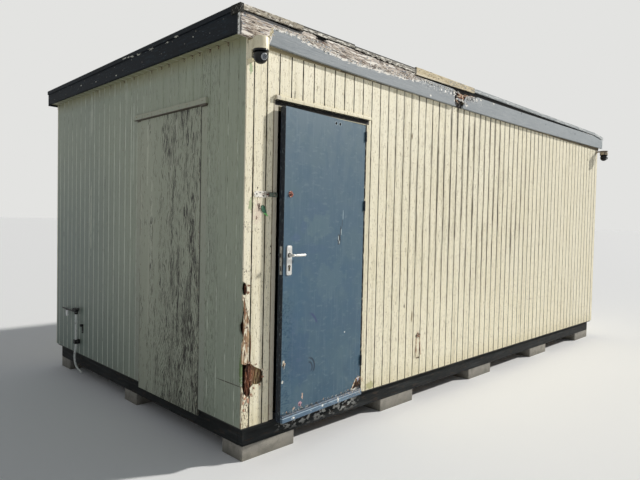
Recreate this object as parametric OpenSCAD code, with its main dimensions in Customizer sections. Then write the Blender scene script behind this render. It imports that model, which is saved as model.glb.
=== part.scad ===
// Portable site cabin. A timber floor on concrete blocks carries framed walls
// faced with grooved sheets, under a flat roof that falls to the back.
// The doorway faces -Y, and the blanked doorway is in the left end, at -X.
// Features are set out from the front left corner, at the bottom edge of the sheets.

/* [Cabin] */
// Length over the grooved sheets
cabin_length = 6030; // [4800:10:7200]
// Width over the grooved sheets
cabin_width = 3110; // [2700:10:3600]
// Height of the room from the deck to the roof panel
room_height = 2402; // [2350:1:2700]

/* [Floor] */
// Height of the concrete blocks on the ground
block_height = 95; // [60:5:200]
// Length of a block along the cabin
block_length = 440; // [300:10:480]
// Width of a block across the cabin
block_width = 215; // [140:5:260]
// Blocks under each bearer
block_count = 5; // [3:2:7]
// Depth of the bearers and joists
bearer_depth = 120; // [95:5:200]
// Thickness of the bearers and joists
bearer_thickness = 47; // [38:1:75]
// Set-back of the outer bearers behind the face of the sheets
bearer_setback = 40; // [15:1:80]
// Number of joists along the floor, with the two end ones
joist_count = 11; // [7:1:15]
// Thickness of the floor's deck
deck_thickness = 18; // [15:1:25]

/* [Walls] */
// Thickness of the framed wall panels
panel_thickness = 60; // [45:1:90]
// Thickness of the grooved sheets
sheet_thickness = 12; // [9:1:18]
// How far the sheets hang below the top of the deck
sheet_drop = 3; // [0:1:12]
// Distance between grooves
groove_pitch = 101.6; // [75:0.1:152.4]
// Width of a groove at the face
groove_width = 8; // [4:0.5:12]
// Depth of a groove
groove_depth = 4; // [2:0.5:6]
// Distance from the left corner to the first groove of the front
front_first_groove = 58; // [20:1:90]
// Distance from a corner to the first groove of an end
end_first_groove = 82; // [20:1:95]

/* [Door] */
// Distance from the front left corner to the hinge edge of the door
door_offset = 1108; // [1050:1:1400]
// Width of the door's leaf
leaf_width = 850; // [760:1:900]
// Height of the door's leaf
leaf_height = 2020; // [1950:1:2060]
// Thickness of the door's leaf
leaf_thickness = 44; // [40:1:50]
// How far the leaf reaches below the bottom edge of the sheets
leaf_drop = 8; // [2:1:10]
// Gap between the leaf and its frame
leaf_gap = 5; // [5:0.5:7]
// Angle at which the door stands ajar
ajar_angle = 4.5; // [0:0.5:20]
// Width of a jamb at its face
jamb_width = 33; // [28:1:60]
// How far the door stops stand out from the jambs
stop_width = 15; // [10:1:20]
// Height of the frame's head at its face
head_height = 37; // [25:1:60]
// Height of the threshold above the deck
threshold_height = 12; // [5:1:20]
// Height of the drip trim over the doorway
drip_height = 30; // [20:1:45]
// How far the drip trim stands out
drip_depth = 22; // [12:1:35]
// Height of the weather bar at the foot of the leaf
bar_height = 44; // [30:1:70]
// How far the weather bar stands out from the leaf
bar_depth = 20; // [12:1:30]

/* [Hinges] */
// Height of a hinge
hinge_height = 75; // [60:1:110]
// Outer radius of a hinge's knuckles
knuckle_radius = 6; // [5:0.5:7]
// Radius of a hinge's pin
pin_radius = 3; // [2.5:0.1:3.5]
// Distance of the pin in front of the face of the sheets
pin_offset = 8; // [7.5:0.5:12]
// Heights of the hinges' centres above the bottom edge of the sheets
hinge_low = 250; // [150:1:400]
hinge_mid = 1413; // [900:1:1500]
hinge_top = 1930; // [1700:1:1950]

/* [Lock] */
// Height of the lever's spindle above the bottom edge of the sheets
lever_height = 1070; // [950:1:1150]
// Distance from the free edge of the leaf to the spindle
backset = 50; // [45:1:60]
// Distance from the spindle down to the lock cylinder
cylinder_drop = 72; // [60:1:92]
// Width of a handle plate
plate_width = 46; // [35:1:55]
// Height of a handle plate
plate_height = 190; // [170:1:240]
// Thickness of a handle plate
plate_thickness = 7; // [4:0.5:10]
// Length of the lever from its spindle
lever_length = 112; // [90:1:130]
// Thickness of the lever's grip
grip_radius = 9; // [7:0.5:11]

/* [Hasp] */
// Height of the hasp above the bottom edge of the sheets
hasp_height = 1452; // [1200:1:1500]
// Distance from the front left corner to the hasp's pin
hasp_offset = 170; // [140:1:175]
// Length of the fixed leaf to the left of the pin
hasp_leaf_length = 102; // [60:1:110]
// Height of the fixed leaf
hasp_leaf_height = 40; // [30:1:50]
// Length of the strap from the pin to its end
strap_length = 80; // [60:1:82]
// Height of the strap
strap_height = 28; // [20:1:36]
// Thickness of the hasp's plates
hasp_plate = 2.5; // [2:0.5:4]
// Distance of the hasp's pin in front of the sheets
hasp_pin_offset = 10; // [9:0.5:14]

/* [Roof] */
// Thickness of the roof panel at the front
roof_front = 135; // [110:1:170]
// Fall of the roof from the front to the back
roof_fall = 35; // [0:1:60]
// Overhang of the roof past each end, to the face of the fascia
end_overhang = 80; // [50:1:150]
// Overhang of the roof past the front and back, to the face of the fascia
side_overhang = 32; // [30:1:80]
// Thickness of the fascias
fascia_thickness = 22; // [16:1:30]
// Height of the front fascia
front_fascia_height = 143; // [120:1:180]
// How far the front fascia's ends hang below the roof panel
front_fascia_drop = 22; // [10:1:40]
// Sag of the front fascia
fascia_sag = 34; // [0:1:40]
// Thickness of the roof felt
felt_thickness = 4; // [2:1:8]
// Height of the front edge trim's lip
trim_lip = 32; // [24:1:34]
// Thickness of the edge trims
trim_thickness = 16; // [10:1:22]
// How far the edge trims reach in over the felt
trim_flange = 50; // [30:1:80]
// How far the front fascia's top and the trim's end drop at the right corner
corner_drop = 34; // [0:1:40]
// Length over which they drop
corner_run = 350; // [200:10:600]

/* [Wear of the front edge] */
// Distance from the left corner to the first joint of the edge trim
first_trim_joint = 123; // [60:1:300]
// Distance from the left corner to the second joint of the edge trim
second_trim_joint = 421; // [360:1:600]
// Distance from the left corner to where the edge trim has rotted
rotten_trim_from = 930; // [700:1:1200]
// Distance from the left corner to the newer length of edge trim
newer_trim_from = 1675; // [1400:1:1800]
// Length of the newer length of edge trim
newer_trim_length = 925; // [600:1:1200]
// Distance from the left corner to the slanting joint of the fascia
slanting_joint = 160; // [100:1:400]
// Distance from the left corner to the rotten joint of the fascia
rotten_joint = 2370; // [1800:10:3600]

/* [Blanked doorway] */
// Distance from the front left corner to the near side of the frame
blank_offset = 420; // [300:1:900]
// Width of the blanking panel
blank_width = 850; // [700:1:950]
// Height of the blanking panel's top above the bottom edge of the sheets
blank_top = 2040; // [1900:1:2100]
// How far the panel hangs below the bottom edge of the sheets
blank_drop = 44; // [0:1:60]
// Width of the doorway frame's jambs
blank_jamb = 66; // [40:1:90]
// Height of the head trim
blank_trim_height = 44; // [30:1:60]
// How far the head trim stands out
blank_trim_depth = 18; // [10:1:30]
// How far the head trim runs past the frame on its far side
blank_horn = 20; // [0:1:60]

/* [Cameras] */
// Distance of the cameras from the ends of the cabin
camera_inset = 30; // [20:1:200]
// Distance of the cameras in front of the face of the sheets
camera_reach = 92; // [92:1:150]
// Radius of a camera's housing
camera_radius = 49; // [46:1:52]
// Distance of the left camera's top below the roof panel
left_camera_drop = 29; // [24:1:80]
// Distance of the right camera's arm below the roof panel
right_camera_drop = 70; // [60:1:120]
// Height of the left camera's housing
left_housing_height = 76; // [60:1:100]
// Height of the right camera's housing, under its arm
right_housing_height = 38; // [30:1:60]
// Height of the left camera's wall box
wall_box_height = 110; // [80:1:140]
// Depth of the left camera's wall box
wall_box_depth = 42; // [30:1:43]
// Thickness of the right camera's arm
arm_thickness = 14; // [8:1:20]
// Radius of a camera's ball
ball_radius = 44; // [36:1:45]
// Height of the ring between a housing and its ball
ring_height = 12; // [6:1:16]
// Radius of a camera's lens barrel
lens_radius = 20; // [14:1:24]

/* [Tap] */
// Distance from the front left corner to the riser pipe
riser_offset = 2530; // [1600:1:2560]
// Height of the riser's top above the bottom edge of the sheets
riser_top = 395; // [300:1:700]
// Radius of the pipes
pipe_radius = 10; // [7:0.5:12]
// Distance of the pipes in front of the sheets
pipe_reach = 30; // [24:1:60]
// Length of the branch from the riser
branch_length = 335; // [280:1:360]
// Distance from the riser to the spout
spout_offset = 220; // [150:1:250]
// Height of the pipe clamp above the bottom edge of the sheets
clamp_height = 85; // [60:1:200]

/* [Hidden] */
$fn = 48;
cut = 1;
left_x = -cabin_length / 2;
right_x = cabin_length / 2;
front_y = -cabin_width / 2;
back_y = cabin_width / 2;
deck_z = block_height + bearer_depth;
floor_z = deck_z + deck_thickness;
skirt_z = floor_z - sheet_drop;
roof_z = floor_z + room_height;
sheet_height = roof_z - skirt_z;
wall_thickness = panel_thickness + sheet_thickness;
bearer_span = cabin_length - 2 * bearer_setback;

bare_depth = 3;
bite_height = 92;
leaf_bottom = skirt_z - leaf_drop;
leaf_top = leaf_bottom + leaf_height;
hinge_x = left_x + door_offset;
latch_x = hinge_x - leaf_width;
frame_left = latch_x - leaf_gap - jamb_width;
frame_right = hinge_x + leaf_gap + jamb_width;
frame_width = frame_right - frame_left;
stop_y = front_y + leaf_thickness + leaf_gap;
head_z = leaf_top + leaf_gap;
head_top = head_z + head_height;
sill_depth = 90;
soffit_thickness = 6;
batten_height = 55;
batten_chamfer = 4;
moulding_flat = 0.7;
drip_inset = 3;
drip_overrun = 5;
pin_x = hinge_x + leaf_gap / 2;
pin_y = front_y - pin_offset;
flap_thickness = 2;
flap_width = 35;
knuckle_gap = 1;
pin_clearance = 0.1;
spindle_x = latch_x + backset;
spindle_z = skirt_z + lever_height;
cylinder_z = spindle_z - cylinder_drop;
plate_centre_drop = 34;
plate_z = spindle_z - plate_centre_drop;
plate_corner = 12;
cylinder_head = 8.5;
cylinder_foot = 5;
cylinder_span = 24.5;
spindle_radius = 9.6;
spindle_clearance = 0.4;
cylinder_clearance = 0.5;
cylinder_proud = 3;
forend_width = 20;
forend_thickness = 3;
forend_height = 180;
forend_y = front_y + (leaf_thickness - forend_width) / 2;
neck_radius = 6;
neck_length = 12;
neck_taper = 14;
hasp_x = left_x + hasp_offset;
hasp_z = skirt_z + hasp_height;
hasp_y = front_y - hasp_pin_offset;
hasp_knuckle = 4.5;
hasp_pin = 2;
slot_height = 9;
staple_offset = 793;
staple_rise = 8;
rose_radius = 20;
rose_thickness = 3;
weld_depth = 1;
loop_radius = 13;
loop_wire = 4;
strap_gap = 1.5;
slot_length = 24;
slot_margin = 8;

panel_front = side_overhang - fascia_thickness;
panel_end = end_overhang - fascia_thickness;
roof_front_z = roof_z + roof_front;
roof_back_z = roof_front_z - roof_fall;
trim_front_z = roof_front_z + felt_thickness;
trim_back_z = roof_back_z + felt_thickness;
blank_lap = 7;
panel_proud = 2;
block_proud = 2;
blank_left = blank_offset + blank_jamb;
blank_right = blank_left + blank_width;
lip_proud = 8;
felt_seat = 0.02;
fascia_step = 2;
end_fascia_bottom = roof_z - soffit_thickness - fascia_step;
fascia_length = cabin_length + 2 * end_overhang;
slanting_run = end_overhang + slanting_joint;
rotten_run = end_overhang + rotten_joint;
saw_gap = 2;
saw_lean = 53;
worn_lip = 6;
worn_face = 3;
newer_face = 2;
rotten_steps = 28;
rotten_flange = 6;
rotten_loss = 16;
lip_drop = 0.8 * corner_drop;
cap_width = 26;
cap_height = 36;
cap_face = lip_proud + 2;
cap_rise = 1;
left_camera_x = left_x + camera_inset;
right_camera_x = right_x - camera_inset;
left_camera_top = roof_z - left_camera_drop;
right_camera_top = roof_z - right_camera_drop;
camera_y = front_y - camera_reach;
ball_sink = 6;
ball_drop = ball_radius - ball_sink;
lens_proud = 4;
lens_reach = ball_radius + lens_proud;
lens_down = 14;
lens_turn = -11;
wall_box_width = 2 * camera_inset;
wall_box_step = 8;
housing_fit = 0.3;
housing_ease = 10;
housing_shoulder = 3;
ring_step = 2;
grip_reach = 38;
bend_down = 25;
bend_up = 80;
long_bend = 200;
short_bend = 100;
pipe_fit = 0.2;
let_in = 4;
let_in_step = 0.3;
let_in_turn = let_in / short_bend * 180 / PI;
collar_height = 0.75 * riser_top;
collar_length = 20;
collar_face = 2;
branch_radius = 7;
spout_length = 62;
spout_face = 1;
valve_radius = 16;
body_radius = 13;
valve_height = 30;
valve_back = 22;
valve_length = 92;
handle_back = 64;
handle_length = 90;
handle_width = 14;
handle_thickness = 10;
handle_sink = 2;
clamp_width = 44;
clamp_depth = 18;
clamp_length = 38;
clamp_step = 12;
strap_back = 62;
strap_run = 110;
strap_depth = 8;
strap_width = 14;
hook_back = 98;
hook_width = 22;
hook_thickness = 8;
hook_length = 84;
hook_reach = 26;
hook_height = 206;

// Height of the felt's top at a place along Y
function felt_top_at(y) =
    trim_front_z - roof_fall * (y - front_y + panel_front) / (cabin_width + 2 * panel_front);
// Drop of the front fascia at a share of its length, most near a third
function sag_at(share) = fascia_sag * sin(180 * pow(share, 0.75));
// Share of the drop at the right corner, at a distance from the left end of the fascia
function drop_share(run) = max(0, (run - fascia_length + corner_run) / corner_run);
function fascia_bottom_at(run) = roof_z - front_fascia_drop - sag_at(run / fascia_length);
function fascia_height_at(run) = front_fascia_height - corner_drop * drop_share(run);
// Point of the front fascia at a distance from its left end and a share of its height
function fascia_point(run, share) = [run, fascia_bottom_at(run) + share * fascia_height_at(run)];
// Ragged line, in steps, that stays within a few millimetres of zero
function ragged(step) = 5 * sin(step * 137) + 3 * sin(step * 211);

// Sheet with grooves, from one distance to another along a wall whose grooves start at first
module grooved_sheet(from, to, first, height) {
    linear_extrude(height = height)
        difference() {
            translate([from, 0])
                square([to - from, sheet_thickness]);
            for (run = [first : groove_pitch : to - groove_width])
                if (run > from + groove_width)
                    translate([run, 0])
                        polygon([
                            [-groove_width / 2, -cut],
                            [groove_width / 2, -cut],
                            [groove_width / 2, 0],
                            [groove_width / 4, groove_depth],
                            [-groove_width / 4, groove_depth],
                            [-groove_width / 2, 0],
                        ]);
        }
}

// Places what is drawn along X, facing -Y, on the left end, facing -X
module on_left_end() {
    translate([left_x, front_y, 0])
        mirror([1, 0, 0])
            rotate([0, 0, 90])
                children();
}

module on_right_end() {
    translate([right_x, front_y, 0])
        rotate([0, 0, 90])
            children();
}

module on_back() {
    translate([right_x, back_y, 0])
        rotate([0, 0, 180])
            children();
}

// Turns a closed door's piece about the hinge pins to where the door stands
module ajar() {
    translate([pin_x, pin_y, 0])
        rotate([0, 0, ajar_angle])
            translate([-pin_x, -pin_y, 0])
                children();
}

// Cylinder along Y from one place to another
module rod_y(radius, from, to) {
    translate([0, from, 0])
        rotate([-90, 0, 0])
            cylinder(r = radius, h = to - from);
}

// Cylinder along X from one place to another
module rod_x(radius, from, to) {
    translate([from, 0, 0])
        rotate([0, 90, 0])
            cylinder(r = radius, h = to - from);
}

// Prism along X whose outline is drawn over Y and Z
module along_x(from, to) {
    translate([from, 0, 0])
        rotate([90, 0, 90])
            linear_extrude(height = to - from)
                children();
}

module support_blocks() {
    color("darkgray") {
        spacing = (bearer_span - block_length) / (block_count - 1);
        outer_y = cabin_width / 2 - bearer_setback - block_width / 2;
        for (step = [0 : block_count - 1])
            for (y = [-outer_y, 0, outer_y])
                translate([
                    -bearer_span / 2 + step * spacing,
                    y - block_width / 2,
                    0
                ])
                    cube([block_length, block_width, block_height]);
    }
}

module long_bearers() {
    color("#303436") {
        outer_y = cabin_width / 2 - bearer_setback - bearer_thickness / 2;
        for (y = [-outer_y, 0, outer_y])
            translate([-bearer_span / 2, y - bearer_thickness / 2, block_height])
                cube([bearer_span, bearer_thickness, bearer_depth]);
    }
}

module cross_joists() {
    color("#303436") {
        spacing = (bearer_span - bearer_thickness) / (joist_count - 1);
        clear = cabin_width / 2 - bearer_setback - bearer_thickness * 3 / 2;
        for (step = [0 : joist_count - 1])
            for (y = [-clear - bearer_thickness / 2, bearer_thickness / 2])
                translate([-bearer_span / 2 + step * spacing, y, block_height])
                    cube([bearer_thickness, clear, bearer_depth]);
    }
}

module floor_deck() {
    color("burlywood")
        difference() {
            translate([left_x + sheet_thickness, front_y + sheet_thickness, deck_z])
                cube([
                    cabin_length - 2 * sheet_thickness,
                    cabin_width - 2 * sheet_thickness,
                    deck_thickness
                ]);
            translate([frame_left, front_y, deck_z - cut])
                cube([frame_width, sill_depth, deck_thickness + 2 * cut]);
        }
}

module corner_posts() {
    color("saddlebrown") {
        x_edge = cabin_length / 2 - sheet_thickness - panel_thickness / 2;
        y_edge = cabin_width / 2 - sheet_thickness - panel_thickness / 2;
        difference() {
            for (x = [-x_edge, x_edge])
                for (y = [-y_edge, y_edge])
                    translate([x - panel_thickness / 2, y - panel_thickness / 2, floor_z])
                        cube([panel_thickness, panel_thickness, room_height]);
            post_rot();
        }
    }
}

// Rotten arris of the post behind the holes: leaning bites, each with its height, lean and depth
module post_rot() {
    for (bite = [[215, 9, 13], [300, -7, 17], [385, 12, 10], [570, -5, 12], [660, 6, 16], [868, -9, 11]])
        translate([left_x + sheet_thickness, front_y + sheet_thickness, skirt_z + bite[0]])
            rotate([bite[1], bite[1], 45])
                translate([-panel_thickness, -2 * bite[2], -bite_height / 2])
                    cube([2 * panel_thickness, 3 * bite[2], bite_height]);
}

// Framed panel of a long wall between two places along X
module long_panel(from, to, face_y, bottom) {
    translate([from, face_y, bottom])
        cube([to - from, panel_thickness, roof_z - bottom]);
}

module front_wall_left() {
    color("tan")
        long_panel(left_x + wall_thickness, frame_left, front_y + sheet_thickness, floor_z);
}

module front_wall_over_door() {
    color("tan")
        long_panel(frame_left, frame_right, front_y + sheet_thickness, head_top);
}

module front_wall_right() {
    color("tan")
        long_panel(frame_right, right_x - wall_thickness, front_y + sheet_thickness, floor_z);
}

module back_wall() {
    color("tan")
        long_panel(
            left_x + wall_thickness, right_x - wall_thickness, back_y - wall_thickness, floor_z);
}

// Framed panel of an end wall, between the corner posts
module end_panel(from_x) {
    translate([from_x, front_y + wall_thickness, floor_z])
        cube([panel_thickness, cabin_width - 2 * wall_thickness, room_height]);
}

module left_end_wall() {
    color("tan")
        end_panel(left_x + sheet_thickness);
}

module right_end_wall() {
    color("tan")
        end_panel(right_x - wall_thickness);
}

// Cuts an outline, drawn over X and Z, into what faces -Y
module cut_outline(depth, outline) {
    translate([0, -cut, 0])
        rotate([90, 0, 0])
            mirror([0, 0, 1])
                linear_extrude(height = depth + cut)
                    polygon(outline);
}

// Rotten corner of the front sheet: two holes, two eaten edges and a stretch of bare wood
module front_rot() {
    through = sheet_thickness + cut;
    cut_outline(through, [
        [-cut, 262], [6, 257], [14, 205], [28, 177], [50, 196], [69, 210], [63, 245], [90, 263],
        [116, 256], [154, 262], [158, 300], [157, 343], [104, 370], [76, 391], [52, 402],
        [24, 395], [-cut, 405],
    ]);
    cut_outline(through, [
        [-cut, 531], [8, 540], [15, 579], [12, 662], [14, 745], [7, 790], [-cut, 800],
    ]);
    cut_outline(through, [
        [-cut, 832], [18, 827], [31, 846], [30, 876], [20, 902], [-cut, 915],
    ]);
    cut_outline(bare_depth, [
        [-cut, 390], [66, 396], [65, 422], [69, 531], [58, 658], [40, 700], [27, 752],
        [12, 810], [-cut, 822],
    ]);
}

// Rotten corner of the left end's sheet
module end_rot() {
    through = sheet_thickness + cut;
    cut_outline(through, [
        [0, 520], [8, 540], [16, 585], [36, 609], [40, 640], [24, 668], [14, 713], [8, 770],
        [0, 800],
    ]);
    cut_outline(through, [
        [0, 826], [16, 838], [25, 868], [20, 896], [0, 916],
    ]);
    cut_outline(bare_depth, [
        [0, 258], [9, 275], [12, 331], [8, 430], [0, 449],
    ]);
}

module front_sheet_left() {
    color("cornsilk")
        translate([left_x, front_y, skirt_z])
            difference() {
                grooved_sheet(0, frame_left - left_x, front_first_groove, sheet_height);
                front_rot();
            }
}

module front_sheet_over_door() {
    color("cornsilk")
        translate([left_x, front_y, head_top])
            grooved_sheet(
                frame_left - left_x, frame_right - left_x, front_first_groove, roof_z - head_top);
}

module front_sheet_right() {
    color("cornsilk")
        translate([left_x, front_y, skirt_z])
            grooved_sheet(frame_right - left_x, cabin_length, front_first_groove, sheet_height);
}

module back_sheet() {
    color("cornsilk")
        on_back()
            translate([0, 0, skirt_z])
                grooved_sheet(0, cabin_length, front_first_groove, sheet_height);
}

// Sheet of an end wall, between the front and back sheets
module end_sheet() {
    translate([0, 0, skirt_z])
        grooved_sheet(
            sheet_thickness, cabin_width - sheet_thickness, end_first_groove, sheet_height);
}

module left_end_sheet() {
    color("cornsilk")
        on_left_end()
            difference() {
                end_sheet();
                translate([blank_offset, -cut, skirt_z - cut])
                    cube([
                        blank_width + 2 * blank_jamb,
                        sheet_thickness + 2 * cut,
                        blank_top + leaf_gap + cut
                    ]);
                translate([0, 0, skirt_z])
                    end_rot();
            }
}

module right_end_sheet() {
    color("cornsilk")
        on_right_end()
            end_sheet();
}

module blanked_door_frame() {
    color("ivory")
        on_left_end()
            translate([0, 0, skirt_z]) {
                translate([blank_offset, 0, 0])
                    cube([blank_jamb, sheet_thickness, blank_top]);
                translate([blank_right, 0, 0])
                    cube([blank_jamb, sheet_thickness, blank_top]);
                translate([blank_offset, 0, blank_top])
                    cube([blank_width + 2 * blank_jamb, sheet_thickness, leaf_gap]);
            }
}

module blanked_door_panel() {
    color("ivory")
        on_left_end()
            translate([blank_left, -panel_proud, skirt_z - blank_drop])
                cube([blank_width, sheet_thickness + panel_proud, blank_top + blank_drop]);
}

// Moulding along X with a sloping top, whose back lies on the wall's face
module drip_moulding(from, to, height, depth) {
    along_x(from, to)
        polygon([
            [0, 0],
            [-depth, 0],
            [-depth, height * moulding_flat],
            [-depth * moulding_flat, height],
            [0, height],
        ]);
}

module blanked_door_trim() {
    color("ivory")
        on_left_end()
            translate([blank_offset, 0, skirt_z + blank_top + leaf_gap]) {
                drip_moulding(
                    0,
                    blank_width + 2 * blank_jamb + blank_horn,
                    blank_trim_height,
                    blank_trim_depth);
                translate([-blank_lap, -blank_trim_depth - block_proud, -blank_lap])
                    cube([
                        blank_jamb + blank_lap,
                        blank_trim_depth + block_proud,
                        blank_trim_height + blank_lap
                    ]);
            }
}

module door_jambs() {
    color("cornsilk") {
        jamb_height = head_top - floor_z;
        translate([frame_left, front_y, floor_z]) {
            cube([jamb_width, wall_thickness, jamb_height]);
            translate([0, stop_y - front_y, 0])
                cube([jamb_width + stop_width, wall_thickness - (stop_y - front_y), jamb_height]);
        }
        translate([frame_right, front_y, floor_z])
            mirror([1, 0, 0]) {
                cube([jamb_width, wall_thickness, jamb_height]);
                translate([0, stop_y - front_y, 0])
                    cube([
                        jamb_width + stop_width, wall_thickness - (stop_y - front_y), jamb_height]);
            }
    }
}

module door_head() {
    color("cornsilk") {
        translate([frame_left + jamb_width, front_y, head_z])
            cube([frame_width - 2 * jamb_width, stop_y - front_y, head_height]);
        translate([frame_left + jamb_width + stop_width, stop_y, head_z - stop_width])
            cube([
                frame_width - 2 * (jamb_width + stop_width),
                front_y + wall_thickness - stop_y,
                head_height + stop_width
            ]);
    }
}

module door_sill() {
    color("dimgray") {
        sill_width = front_y + sill_depth - stop_y;
        translate([frame_left, stop_y, deck_z])
            cube([frame_width, sill_width, deck_thickness]);
        translate([frame_left + jamb_width + stop_width, stop_y, deck_z])
            cube([
                frame_width - 2 * (jamb_width + stop_width),
                sill_width,
                deck_thickness + threshold_height
            ]);
    }
}

module door_drip_trim() {
    color("cornsilk")
        translate([0, front_y, head_top])
            drip_moulding(
                frame_left + drip_inset, frame_right + drip_overrun, drip_height, drip_depth);
}

// Outline of the lock cylinder's end, with its centre at the top circle's
module cylinder_outline(clearance) {
    circle(r = cylinder_head + clearance);
    translate([-cylinder_foot - clearance, -cylinder_span])
        square([2 * (cylinder_foot + clearance), cylinder_span]);
    translate([0, -cylinder_span])
        circle(r = cylinder_foot + clearance);
}

// Lock cylinder's form along Y from one place to another
module cylinder_bar(from, to, clearance) {
    translate([spindle_x, from, cylinder_z])
        rotate([90, 0, 0])
            mirror([0, 0, 1])
                linear_extrude(height = to - from)
                    cylinder_outline(clearance);
}

module door_leaf() {
    color("#5c6f80")
        ajar()
            difference() {
                translate([latch_x, front_y, leaf_bottom])
                    cube([leaf_width, leaf_thickness, leaf_height]);
                translate([spindle_x, 0, spindle_z])
                    rod_y(
                        spindle_radius + spindle_clearance,
                        front_y - cut,
                        front_y + leaf_thickness + cut);
                cylinder_bar(
                    front_y - cut, front_y + leaf_thickness + cut, cylinder_clearance);
                translate([latch_x - cut, forend_y, plate_z - forend_height / 2])
                    cube([forend_thickness + cut, forend_width, forend_height]);
            }
}

module door_weather_bar() {
    color("#5e86a8")
        ajar()
            translate([0, front_y, leaf_bottom])
                drip_moulding(latch_x, hinge_x, bar_height, bar_depth);
}

// Knuckle from one height to another above a hinge's foot
module knuckle(from, to) {
    translate([pin_x, pin_y, from])
        cylinder(r = knuckle_radius, h = to - from);
}

module hinge_frame_leaves() {
    color("#2b3238") {
        third = hinge_height / 3;
        for (height = [hinge_low, hinge_mid, hinge_top])
            translate([0, 0, skirt_z + height - hinge_height / 2]) {
                translate([hinge_x + leaf_gap - flap_thickness, pin_y, 0])
                    cube([flap_thickness, flap_width + pin_offset, third]);
                translate([hinge_x + leaf_gap - flap_thickness, front_y, 0])
                    cube([flap_thickness, flap_width, hinge_height]);
                translate([hinge_x + leaf_gap - flap_thickness, pin_y, 2 * third])
                    cube([flap_thickness, flap_width + pin_offset, third]);
                knuckle(0, third);
                knuckle(2 * third, hinge_height);
                translate([pin_x, pin_y, 0])
                    cylinder(r = pin_radius, h = hinge_height);
            }
    }
}

module hinge_door_leaves() {
    color("#2b3238")
        ajar() {
            third = hinge_height / 3;
            for (height = [hinge_low, hinge_mid, hinge_top])
                translate([0, 0, skirt_z + height - hinge_height / 2])
                    difference() {
                        union() {
                            translate([hinge_x, front_y, 0])
                                cube([flap_thickness, flap_width, hinge_height]);
                            translate([hinge_x, pin_y, third + knuckle_gap])
                                cube([
                                    flap_thickness, flap_width + pin_offset, third - 2 * knuckle_gap]);
                            knuckle(third + knuckle_gap, 2 * third - knuckle_gap);
                        }
                        translate([pin_x, pin_y, -cut])
                            cylinder(r = pin_radius + pin_clearance, h = hinge_height + 2 * cut);
                    }
        }
}

module lock_forend() {
    color("gainsboro")
        ajar()
            translate([latch_x, forend_y, plate_z - forend_height / 2])
                cube([forend_thickness, forend_width, forend_height]);
}

module handle_plates() {
    color("gainsboro")
        ajar()
            for (y = [front_y - plate_thickness, front_y + leaf_thickness])
                difference() {
                    translate([spindle_x, y, plate_z])
                        rotate([90, 0, 0])
                            mirror([0, 0, 1])
                                linear_extrude(height = plate_thickness)
                                    rounded_plate(plate_width, plate_height, plate_corner);
                    translate([spindle_x, 0, spindle_z])
                        rod_y(
                            spindle_radius + spindle_clearance,
                            y - cut,
                            y + plate_thickness + cut);
                    cylinder_bar(y - cut, y + plate_thickness + cut, cylinder_clearance);
                }
}

// Rectangle with round corners about its centre
module rounded_plate(width, height, radius) {
    square([width - 2 * radius, height], center = true);
    square([width, height - 2 * radius], center = true);
    for (x = [-1, 1])
        for (y = [-1, 1])
            translate([x * (width / 2 - radius), y * (height / 2 - radius)])
                circle(r = radius);
}

module lever_handle() {
    color("whitesmoke")
        ajar()
            translate([spindle_x, 0, spindle_z]) {
                outer_y = front_y - plate_thickness - grip_reach;
                inner_y = front_y + leaf_thickness + plate_thickness + grip_reach;
                rod_y(spindle_radius, outer_y, inner_y);
                for (y = [outer_y, inner_y])
                    translate([0, y, 0]) {
                        sphere(r = spindle_radius);
                        rotate([0, 90, 0])
                            lever_grip();
                    }
            }
}

// Turned grip along Z, with a thin neck at the spindle and an eased end
module lever_grip() {
    rotate_extrude()
        polygon([
            [0, 0],
            [neck_radius, 0],
            [neck_radius, neck_length],
            [grip_radius, neck_length + neck_taper],
            [grip_radius, lever_length - grip_radius / 2],
            [grip_radius / 2, lever_length],
            [0, lever_length],
        ]);
}

module lock_cylinder() {
    color("gold")
        ajar()
            cylinder_bar(
                front_y - plate_thickness - cylinder_proud,
                front_y + leaf_thickness + plate_thickness + cylinder_proud,
                0);
}

module hasp_wall_leaf() {
    color("silver")
        translate([hasp_x, front_y, hasp_z]) {
            rotate([90, 0, 0])
                linear_extrude(height = hasp_plate) {
                    translate([-hasp_leaf_length + hasp_leaf_height / 2, -hasp_leaf_height / 2])
                        square([hasp_leaf_length - hasp_leaf_height / 2, hasp_leaf_height]);
                    translate([-hasp_leaf_length + hasp_leaf_height / 2, 0])
                        circle(r = hasp_leaf_height / 2);
                }
            for (foot = [-strap_height / 2, strap_height / 6])
                translate([0, 0, foot]) {
                    translate([0, -hasp_pin_offset, 0])
                        cylinder(r = hasp_knuckle, h = strap_height / 3);
                    translate([-hasp_knuckle, -hasp_pin_offset, 0])
                        cube([hasp_plate, hasp_pin_offset, strap_height / 3]);
                }
            translate([0, -hasp_pin_offset, -strap_height / 2])
                cylinder(r = hasp_pin, h = strap_height);
        }
}

module hasp_strap() {
    color("darkseagreen") {
        tongue = strap_height / 3 - knuckle_gap;
        translate([hasp_x, hasp_y, hasp_z])
            difference() {
                union() {
                    translate([hasp_knuckle + strap_gap, -hasp_plate / 2, -strap_height / 2])
                        cube([strap_length - hasp_knuckle - strap_gap, hasp_plate, strap_height]);
                    translate([0, -hasp_plate / 2, -tongue / 2])
                        cube([strap_length / 2, hasp_plate, tongue]);
                    translate([0, 0, -tongue / 2])
                        cylinder(r = hasp_knuckle, h = tongue);
                }
                translate([0, 0, -strap_height])
                    cylinder(r = hasp_pin + pin_clearance, h = 2 * strap_height);
                translate([strap_length - slot_length - slot_margin, -hasp_plate, -slot_height / 2])
                    cube([slot_length, 2 * hasp_plate, slot_height]);
            }
    }
}

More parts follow.
